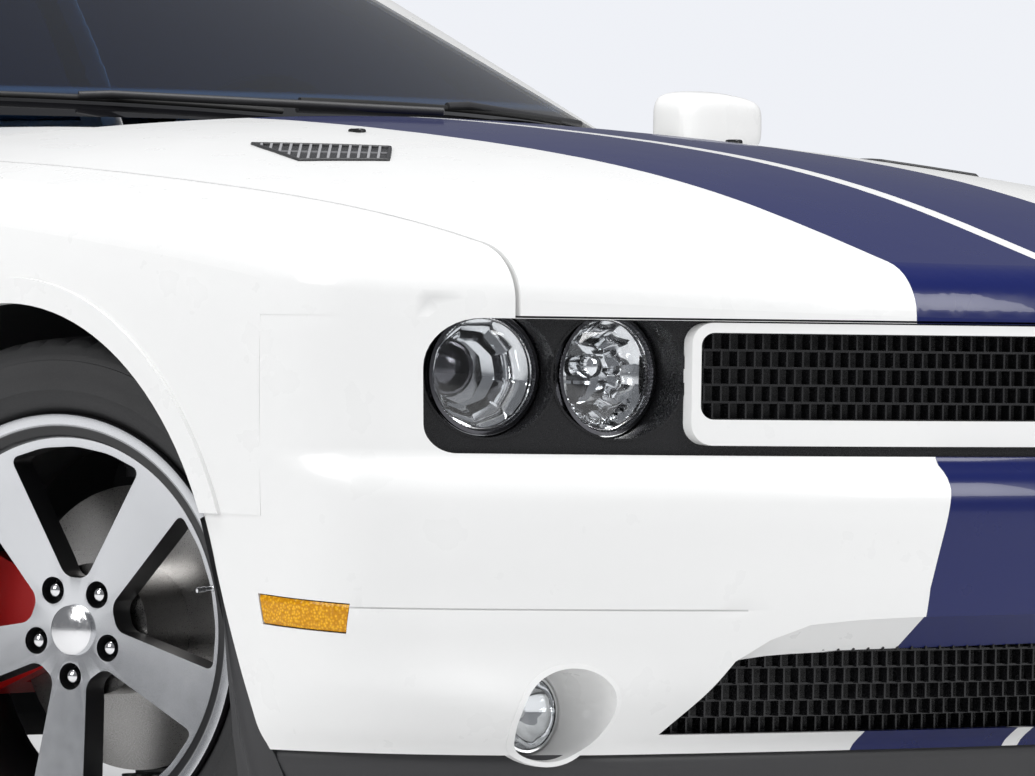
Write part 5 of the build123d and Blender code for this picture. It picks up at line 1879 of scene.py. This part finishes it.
@dataclass
class Lamp(Assembly):
    """Headlamp with a reflector bowl, a knurled bezel and a glass.

    Attributes:
        name: word used in object names.
        side: side of the car.
        x: X of the glass rim's centre.
        y: distance from the middle of the car.
        yaw: angle turned outwards, in degrees.
        projector: whether it has a dark projector instead of a bare bulb.
        z: height of its centre.
        radius: radius of its rim.
        depth: depth of its reflector.
    """

    name: str
    side: Side
    x: float
    y: float
    yaw: float
    projector: bool
    z: float = 0.693
    radius: float = 0.0755
    depth: float = 0.072

    @property
    def matrix(self) -> Matrix:
        """Place of the lamp, its local Z out of the glass and its local X down."""
        s = self.side.value
        return place_at(self.x, s * self.y, self.z) @ turn(s * self.yaw, "Z") @ turn(90, "Y")

    @property
    def tag(self) -> str:
        """End of the pieces' names."""
        return f"{self.name}_{self.side.word}"

    def stands_for(self, node: str) -> tuple[str, ...]:
        """CAD node of all the lamps, named by the left one with the projector alone."""
        return (node,) if self.projector and self.side is Side.LEFT else ()

    def bowl(self) -> None:
        """Reflector with pressed flutes."""
        r, neck = self.radius, self.radius * 0.6
        outline = [(r - 0.001, -0.002), (r - 0.007, -0.002), (r - 0.009, -0.014)]
        rings = 7
        for i in range(rings + 1):
            share = i / rings
            outline.append((r - 0.010 - (r - 0.010 - neck + 0.006) * share, -0.016 - 0.032 * share ** 1.4))
        outline += [(neck - 0.008, -self.depth + 0.008), (0.0, -self.depth + 0.008)]
        lobes = 9 if self.projector else 14

        def flute(angle: float, radius: float, height: float) -> float:
            """Radius with the flutes pressed in.

            Args:
                angle: angle about the axis.
                radius: radius before.
                height: height along the axis.

            Returns:
                The new radius.
            """
            if radius > r - 0.0095 or height < -0.05:
                return radius
            return radius * (1 - 0.045 * abs(math.sin(lobes * angle / 2)))

        piece = Sculpt(f"lamp_bowl_{self.tag}")
        piece.lathe(outline, 126, self.matrix, flute)
        piece.finish(self.looks["chrome"], replaces=self.stands_for("headlamps"), sharp=24)

    def bezel(self) -> None:
        """Ring of fine teeth inside the glass."""
        r = self.radius
        steps = 360

        def toothed(angle: float, radius: float, height: float) -> float:
            """Radius of the inner wall, with a tooth for every four steps.

            Args:
                angle: angle about the axis.
                radius: radius before.
                height: height along the axis.

            Returns:
                The new radius.
            """
            inside = radius < r - 0.008 and int(angle / math.tau * steps + 0.5) % 4 < 2
            return radius - 0.0014 * inside

        piece = Sculpt(f"lamp_bezel_{self.tag}")
        piece.lathe(((r - 0.0022, 0.0012), (r - 0.0065, 0.0016), (r - 0.0085, -0.004), (r - 0.0085, -0.012),
                     (r - 0.0022, -0.012)), steps, self.matrix, toothed)
        piece.finish(self.looks["dark_metal"], sharp=30)

    def glass(self) -> None:
        """Domed glass."""
        r = self.radius - 0.0078
        piece = Sculpt(f"lamp_glass_{self.tag}")
        shell = dome(r, -0.006, 0.009, 12) + dome(r - 0.003, -0.008, 0.008, 12)[::-1]
        piece.lathe(shell, 72, self.matrix)
        piece.finish(self.looks["lens"], replaces=self.stands_for("lamp_lenses"))

    def heart(self) -> None:
        """Projector, or bulb with its shield."""
        word = self.side.word
        chrome, dark = self.looks["chrome"], self.looks["dark_metal"]
        if self.projector:
            at = self.matrix @ place_at(-0.006, self.side.value * 0.034, 0.004)
            for name, outline, look in (
                    ("projector", ((0.033, -0.064), (0.033, -0.034), (0.0315, -0.0315), (0.0285, -0.031),
                                   (0.027, -0.036), (0.0265, -0.048), (0.0, -0.048)), dark),
                    ("projector_lens", dome(0.0255, -0.045, 0.014, 10), dark),
                    ("projector_ring", ((0.0335, -0.040), (0.0352, -0.038), (0.0352, -0.034),
                                        (0.0335, -0.032)), chrome)):
                piece = Sculpt(f"{name}_{word}")
                piece.lathe(outline, 64, at)
                piece.finish(look)
            return
        at = self.matrix @ place_at(-0.010, self.side.value * 0.002, 0)
        shield = Sculpt(f"bulb_shield_{word}")
        shield.lathe(((0.0, -0.020), (0.007, -0.0205), (0.0125, -0.0235), (0.0145, -0.029), (0.0145, -0.041),
                      (0.0125, -0.043), (0.0125, -0.058)), 48, at)
        for a in (0, 120, 240):
            shield.brick((0.004, 0.0025, 0.030), at @ turn(a, "Z") @ place_at(0.020, 0, -0.047))
        shield.finish(chrome)
        ribs = Sculpt(f"reflector_ribs_{word}")
        for i in range(-5, 6):
            y = i * 0.0095
            low = math.sqrt(max(0.0, (self.radius - 0.016) ** 2 - y * y))
            ribs.brick((0.006, 0.0012, 0.010), self.matrix @ place_at(low - 0.004, y, -0.020), 0.0004, 1)
        ribs.finish(chrome)

    def build(self) -> None:
        """Build the lamp."""
        self.bowl()
        self.bezel()
        self.glass()
        self.heart()


@dataclass
class HoodVents(Assembly):
    """Slim vents in the hood, each a grey mesh over a black sheet laid on the hood as painted shade of the
    opening, in a dark rim.

    Attributes:
        corners: outline seen from above, as X and the distance from the middle.
        rows: rows of openings.
        columns: openings of a row.
        bar: width of a bar of the mesh.
        bar_high: height of a bar.
        lift: height of the bars' middle above the hood.
        nozzle: X and distance from the middle of a washer nozzle.
    """

    corners: tuple[Pair, ...] = ((1.504, 0.529), (1.656, 0.429), (1.749, 0.512), (1.672, 0.591))
    rows: int = 2
    columns: int = 14
    bar: float = 0.0032
    bar_high: float = 0.0022
    lift: float = 0.0018
    nozzle: Pair = (1.475, 0.330)

    def spot(self, u: float, v: float) -> Vector:
        """Point of the outline's skewed frame for two shares from 0 to 1."""
        a, b, c, d = (Vector(p) for p in self.corners)
        return (a.lerp(d, u)).lerp(b.lerp(c, u), v)

    def build(self) -> None:
        """Build the vents of both sides."""
        probe = Probe("hood")
        a, b, c, d = (Vector(p) for p in self.corners)
        for side in Side:
            def on_hood(p: Vector, lift: float) -> Vector:
                """Point a distance above the hood's skin, over a point seen from above."""
                point, normal = probe.hit((p.x, side.value * p.y, 1.6), (0, 0, -1))
                return point + normal * lift

            # Painted shade: a black sheet laid just above the uncut hood stands in for the dark opening under
            # the mesh.
            shade_sheet = Sculpt(f"vent_well_{side.word}")
            shade_sheet.sheet(8, 24, lambda u, v: on_hood(self.spot(u, v), 0.0006))
            shade_sheet.finish(self.looks["black"], "hood")
            mesh = Sculpt(f"vent_mesh_{side.word}")
            for i in range(1, self.columns):
                start = a.lerp(b, i / self.columns)
                ends = [crossing(start, c - b, *edge) for edge in ((a, d), (d, c))]
                stop = min((e for e in ends if e is not None), key=lambda e: (e - start).length)
                mesh.brick_between(on_hood(start, self.lift), on_hood(stop, self.lift), self.bar,
                                   self.bar_high)
            for j in range(1, self.rows):
                ends = [on_hood(self.spot(j / self.rows, v), self.lift) for v in (0.01, 0.99)]
                mesh.brick_between(*ends, self.bar, self.bar_high)
            mesh.finish(self.looks["grey"], "hood")
            loop = [(u / 6, 0.0) for u in range(6)] + [(1.0, v / 20) for v in range(20)]
            loop += [(1 - u / 6, 1.0) for u in range(6)] + [(0.0, 1 - v / 20) for v in range(20)]
            rim = [on_hood(self.spot(u, v), 0.0008) for u, v in loop]
            tube(f"vent_rim_{side.word}", rim, 0.0028, self.looks["satin"], "hood", True)
            nozzle = Sculpt(f"washer_nozzle_{side.word}")
            point, _ = probe.hit((self.nozzle[0], side.value * self.nozzle[1], 1.6), (0, 0, -1))
            nozzle.pillow((0.024, 0.014, 0.009), place_at(*point), 4, rounded)
            nozzle.finish(self.looks["black"], "hood")


def crossing(start: Vector, way: Vector, a: Vector, b: Vector) -> Optional[Vector]:
    """Point where a flat ray meets the stretch from a to b, if it does."""
    return intersect_line_line_2d(start + way * 0.001, start + way * 3, a, b)


def rounded(p: Vector) -> Vector:
    """Point of a box from -1 to 1 pulled onto a softly rounded box."""
    return p / (abs(p.x) ** 5 + abs(p.y) ** 5 + abs(p.z) ** 5) ** 0.2


@dataclass
class Mirrors(Assembly):
    """Door mirrors with a painted shell, an arm and a glass.

    Attributes:
        centre: centre of the left shell.
        size: size of the shell.
        door: outer skin of the door beside the arm.
    """

    centre: Triple = (0.680, 1.0170, 1.034)
    size: Triple = (0.082, 0.1758, 0.096)
    door: float = 0.925

    def build(self) -> None:
        """Build both mirrors."""
        for side in Side:
            s = side.value
            x, y, z = self.centre
            body = f"door_{side.word}"

            def shell(p: Vector) -> Vector:
                """Rounded shell, narrower towards its outer end and its front.

                Args:
                    p: point of a box from -1 to 1.

                Returns:
                    The new point.
                """
                q = rounded(p)
                out = q.y * s
                slim = 1 - 0.16 * max(0.0, out) - 0.10 * max(0.0, q.x)
                return Vector((q.x * (1 - 0.12 * out) - 0.10 * out, q.y, q.z * slim))

            pod = Sculpt(f"mirror_shell_{side.word}")
            pod.pillow(self.size, place_at(x, s * y, z), 7, shell)
            pod.finish(self.looks["white"], body, (f"mirror_{side.word}",), levels=1)
            arm = Sculpt(f"mirror_arm_{side.word}")
            arm.pillow((0.052, 0.075, 0.030), place_at(x + 0.004, s * (self.door + 0.020), z - 0.046), 5,
                       rounded)
            arm.finish(self.looks["satin"], body, levels=1)
            glass = Sculpt(f"mirror_glass_{side.word}")
            glass.pillow((0.004, self.size[1] - 0.034, self.size[2] - 0.030),
                         place_at(x - self.size[0] / 2 - 0.0005, s * y, z), 5, rounded)
            glass.finish(self.looks["chrome"], body, levels=1)


@dataclass
class Trim(Assembly):
    """Door handles, wipers and rear plate.

    Attributes:
        handle_x: X of a handle's middle.
        handle_z: height of a handle.
        wiper_lines: name, Y of both ends and rise of each wiper's blade.
        wiper_z: height of the blades' lower ends.
        plate: thickness, width and height of the plate.
        plate_x: X of the fascia's skin behind the plate.
        plate_z: height of the plate's middle.
        plate_lean: lean of the fascia there, in degrees.
    """

    handle_x: float = -0.180
    handle_z: float = 0.795
    wiper_lines: tuple[tuple[str, float, float, float], ...] = (("right", -0.08, -0.64, 0.016),
                                                                ("left", 0.54, -0.02, 0.016))
    wiper_z: float = 1.020
    plate: Triple = (0.003, 0.305, 0.152)
    plate_x: float = -2.4985
    plate_z: float = 0.716
    plate_lean: float = 5.5

    def handles(self) -> None:
        """Door handles, each with a black pad behind it as painted shade of its recess."""
        for side in Side:
            probe = Probe(f"door_{side.word}")
            s = side.value
            point, _ = probe.hit((self.handle_x, s * 1.4, self.handle_z), (0, -s, 0))
            # Painted shade: a thin black pad on the door skin stands in for the shaded recess behind the
            # grip.
            cup = Sculpt(f"handle_recess_{side.word}")
            cup.pillow((0.100, 0.004, 0.052), place_at(point.x + 0.012, point.y, point.z), 6, rounded)
            cup.finish(self.looks["black"], f"door_{side.word}", levels=1)
            grip = Sculpt(f"handle_{side.word}")

            def bowed(p: Vector) -> Vector:
                """Grip that stands off the door in its middle."""
                q = rounded(p)
                return Vector((q.x, q.y + 0.8 * s * (1 - q.x * q.x), q.z * (1 - 0.2 * q.x * q.x)))

            grip.pillow((0.200, 0.011, 0.027), place_at(point.x, point.y + s * 0.005, point.z + 0.002), 7,
                        bowed)
            grip.finish(self.looks["white"], f"door_{side.word}", levels=1)

    def wipers(self) -> None:
        """Two wiper arms with blades at the foot of the windscreen."""
        probe = Probe("windscreen", "cowl_panel", "hood")

        def on_glass(y: float, z: float, lift: float) -> Vector:
            """Point a distance outside the screen at a height and a width."""
            point, normal = probe.hit((1.9, y, z), (-1, 0, 0))
            return point + normal * lift

        foot = self.wiper_z
        for name, y0, y1, rise in self.wiper_lines:
            blade = [on_glass(y0 + (y1 - y0) * i / 16, foot + rise * (1 - (1 - i / 16) ** 2), 0.007)
                     for i in range(17)]
            tube(f"wiper_blade_{name}", blade, 0.0042, self.looks["rubber"])
            middle = (y0 + y1) / 2
            arm = [on_glass(y0 + 0.06, foot - 0.004, 0.010),
                   on_glass(middle + 0.04, foot + rise * 0.6, 0.015),
                   on_glass(middle, foot + rise * 0.75, 0.010)]
            tube(f"wiper_arm_{name}", arm, 0.0055, self.looks["satin"])

    def rear_plate(self) -> None:
        """Blank plate on a dark pad let into the rear fascia."""
        thick, wide, high = self.plate
        lean = place_at(self.plate_x, 0, self.plate_z) @ turn(self.plate_lean, "Y")
        pad = Sculpt("plate_pad")
        pad.brick((0.014, wide + 0.026, high + 0.010), lean @ place_at(0.0045, 0, 0), 0.002)
        pad.finish(self.looks["satin"])
        plate = Sculpt("blank_plate")
        plate.brick((thick, wide, high), lean @ place_at(-0.0027, 0, 0), 0.0005)
        plate.finish(self.looks["plate"])

    def build(self) -> None:
        """Build the trim."""
        self.handles()
        self.wipers()
        self.rear_plate()


@dataclass
class Seats(Assembly):
    """Front seats and rear bench as crowned cushions with sewn channels.

    Attributes:
        middle: distance of a front seat from the middle of the car.
        bench_middle: distance of half the rear bench from the middle of the car.
        cells: a third of the cuts of each edge of a cushion before smoothing.
        crown: rise of a cushion's upper face as a share of its height.
    """

    middle: float = 0.370
    bench_middle: float = 0.291
    cells: int = 11
    crown: float = 0.16

    def cushion(self, name: str, size: Sequence[float], at: Matrix, channels: int = 4,
                replaces: Sequence[str] = ()) -> None:
        """One cushion, flat below, with channels across its upper face.

        Args:
            name: object name.
            size: size along the local axes, the upper face towards local Z.
            at: place of its centre.
            channels: sewn channels across the upper face.
            replaces: CAD nodes that it stands for.
        """
        crown = self.crown

        def shape(p: Vector) -> Vector:
            """Pull the sides in between the corners and press the channels in.

            Args:
                p: point of a box from -1 to 1.

            Returns:
                The new point.
            """
            q = p / (abs(p.x) ** 6 + abs(p.y) ** 6 + abs(p.z) ** 6) ** (1 / 6)
            side_x = 1 - 0.03 * (1 - q.y * q.y)
            side_y = 1 - 0.03 * (1 - q.x * q.x)
            z = q.z
            if z > 0:
                bowl = (1 - q.x ** 4) * (1 - q.y ** 4)
                z = z * (1 - crown + crown * bowl * 0.6 + crown * 0.5 * min(1.0, abs(q.y) ** 3))
                inside = max(0.0, 1 - (abs(q.y) / 0.62) ** 8) * max(0.0, 1 - abs(q.x) ** 8)
                if channels:
                    z -= 0.10 * crown * 6 * inside * abs(math.cos((q.x + 1) / 2 * math.pi * channels)) ** 12
                z -= 0.5 * crown * math.exp(-((abs(q.y) - 0.64) / 0.07) ** 2) * (1 - q.x ** 8)
            return Vector((q.x * side_x, q.y * side_y, z))

        piece = Sculpt(name)
        piece.pillow(size, at, self.cells * 3, shape)
        obj = piece.finish(self.looks["leather"], replaces=replaces, sharp=180, levels=1)

    def build(self) -> None:
        """Build every cushion."""
        face = turn(90, "Y") @ turn(180, "Z")
        for side in Side:
            y = side.value * self.middle
            back = place_at(-0.190, y, 0.345) @ turn(-18, "Y")
            self.cushion(f"seat_cushion_{side.word}", (0.540, 0.500, 0.135), place_at(0.060, y, 0.3505),
                         replaces=("front_seats",) if side is Side.LEFT else ())
            self.cushion(f"seat_back_{side.word}", (0.620, 0.500, 0.140),
                         back @ place_at(0, 0, 0.310) @ face, 5)
            head = back @ place_at(0, 0, 0.700)
            self.cushion(f"head_rest_{side.word}", (0.170, 0.270, 0.100), head @ face, 0)
            base = Sculpt(f"seat_base_{side.word}")
            base.brick((0.50, 0.36, 0.060), place_at(0.060, y, 0.258), 0.012)
            base.finish(self.looks["plastic"])
            for tag, off in (("a", -0.06), ("b", 0.06)):
                post = [(head @ place_at(0, off, z)).translation for z in (-0.085, 0.0)]
                tube(f"head_rest_post_{side.word}_{tag}", post, 0.006, self.looks["bright"])
        back = place_at(-0.860, 0, 0.420) @ turn(-22, "Y")
        for side in Side:
            y = side.value * self.bench_middle
            self.cushion(f"bench_{side.word}", (0.420, 0.576, 0.195), place_at(-0.690, y, 0.3325),
                         replaces=("rear_seat",) if side is Side.LEFT else ())
            self.cushion(f"bench_back_{side.word}", (0.520, 0.576, 0.120),
                         back @ place_at(0, y, 0.260) @ face)


@dataclass
class Rim:
    """Five-spoke rim with black pockets, in place of the CAD's plain one.

    Attributes:
        spokes: number of spokes.
        phase: angle of the first spoke, in degrees from straight ahead towards the top.
        hub: height of the hub's face above the wheel's middle plane.
        root: radius and half width of a spoke at its root.
        tip: radius and half width of a spoke at its tip.
        lip: distance of the bead seats from the wheel's middle plane.
        seat: radius of the circle of nut seats, and the height of their floors.
    """

    spokes: int = 5
    phase: float = 51.0
    hub: float = 0.081
    root: Pair = (0.070, 0.025)
    tip: Pair = (0.228, 0.041)
    lip: float = 0.105
    seat: Pair = (0.0575, 0.058)

    def pocket(self) -> list[Pair]:
        """Outline of the opening between two spokes, about the angle midway between them.

        Returns:
            Its corners, with the round outer side as short steps.
        """
        half = math.pi / self.spokes
        (r0, w0), (r1, w1) = self.root, self.tip
        inner, outer = r0 - 0.003, r1
        near = half - math.asin(w0 / inner)
        far = half - math.asin(w1 / outer)
        arc = [(outer * math.cos(far * t), outer * math.sin(far * t)) for t in (-1, -0.5, 0, 0.5, 1)]
        x, y = inner * math.cos(near), inner * math.sin(near)
        return [(x, -y), *arc, (x, y)]

    def build(self, tag: str, at: Matrix, hand: int, alloy: Material) -> None:
        """Build one rim.

        Args:
            tag: end and side of the wheel.
            at: place of the wheel, local Z outwards and local X ahead.
            hand: 1 where local Y points up, else -1.
            alloy: its finish.
        """
        lip, hub = self.lip, self.hub
        piece = Sculpt(f"rim_face_{tag}")
        piece.lathe(((0.0, hub), (0.030, hub), (0.034, hub + 0.001), (0.066, hub + 0.001),
                     (0.120, hub + 0.006), (0.190, hub + 0.013), (0.232, hub + 0.017), (0.240, hub + 0.0185),
                     (0.240, hub - 0.020), (0.190, hub - 0.028), (0.090, hub - 0.036),
                     (0.0, hub - 0.030)), 120)
        for i in range(self.spokes):
            angle = self.phase + 360 / self.spokes * i
            hole = Sculpt("tool")
            hole.prism(self.pocket(), -0.1, 0.2, turn(hand * (angle + 180 / self.spokes), "Z"), 0.011, 5)
            piece.cut(hole)
            circle, floor = self.seat
            seat = Sculpt("tool")
            seat.lathe(((0, floor), (0.0165, floor), (0.0185, 0.2), (0, 0.2)), 32,
                       turn(hand * angle, "Z") @ place_at(circle, 0, 0))
            piece.cut(seat)
        bmesh.ops.transform(piece.bm, matrix=at, verts=piece.bm.verts[:])
        soften(piece.finish(alloy, f"wheel_{tag}", (f"rim_{tag}",), sharp=28), 0.0016, 2, 40)
        barrel = Sculpt(f"rim_barrel_{tag}")
        barrel.lathe(((0.238, lip - 0.004), (0.240, lip + 0.004), (0.2425, lip + 0.0065),
                      (0.262, lip + 0.0105), (0.267, lip + 0.0105), (0.2685, lip + 0.008),
                      (0.2685, lip + 0.002), (0.262, lip - 0.002), (0.260, lip - 0.030),
                      (0.240, lip - 0.055), (0.240, -lip + 0.045), (0.260, -lip + 0.030),
                      (0.262, -lip + 0.002), (0.2685, -lip - 0.002), (0.2685, -lip - 0.010),
                      (0.262, -lip - 0.0105), (0.250, -lip + 0.004), (0.234, -lip + 0.030),
                      (0.232, -lip + 0.055), (0.232, lip - 0.040), (0.238, lip - 0.020),
                      (0.238, lip - 0.004)), 144, at)
        barrel.finish(alloy, f"wheel_{tag}", sharp=35)


def main() -> None:
    """Build the studio and every piece."""
    logging.basicConfig(level=logging.INFO, format="%(message)s")
    Studio().build()
    looks = palette()
    lamps = [Lamp(looks, name, side, x, y, yaw, projector)
             for name, x, y, yaw, projector in (("outer", 2.229, 0.769, 14.0, True),
                                                ("inner", 2.296, 0.631, 3.0, False))
             for side in Side]
    wheels = [Wheel(looks, end, side) for end in ("front", "rear") for side in Side]
    Shell(looks).build()
    Nose(looks).build(lamps)
    for part in (*lamps, *wheels, HoodVents(looks), Mirrors(looks), Trim(looks), Seats(looks)):
        part.build()


if __name__ == "__main__":
    main()
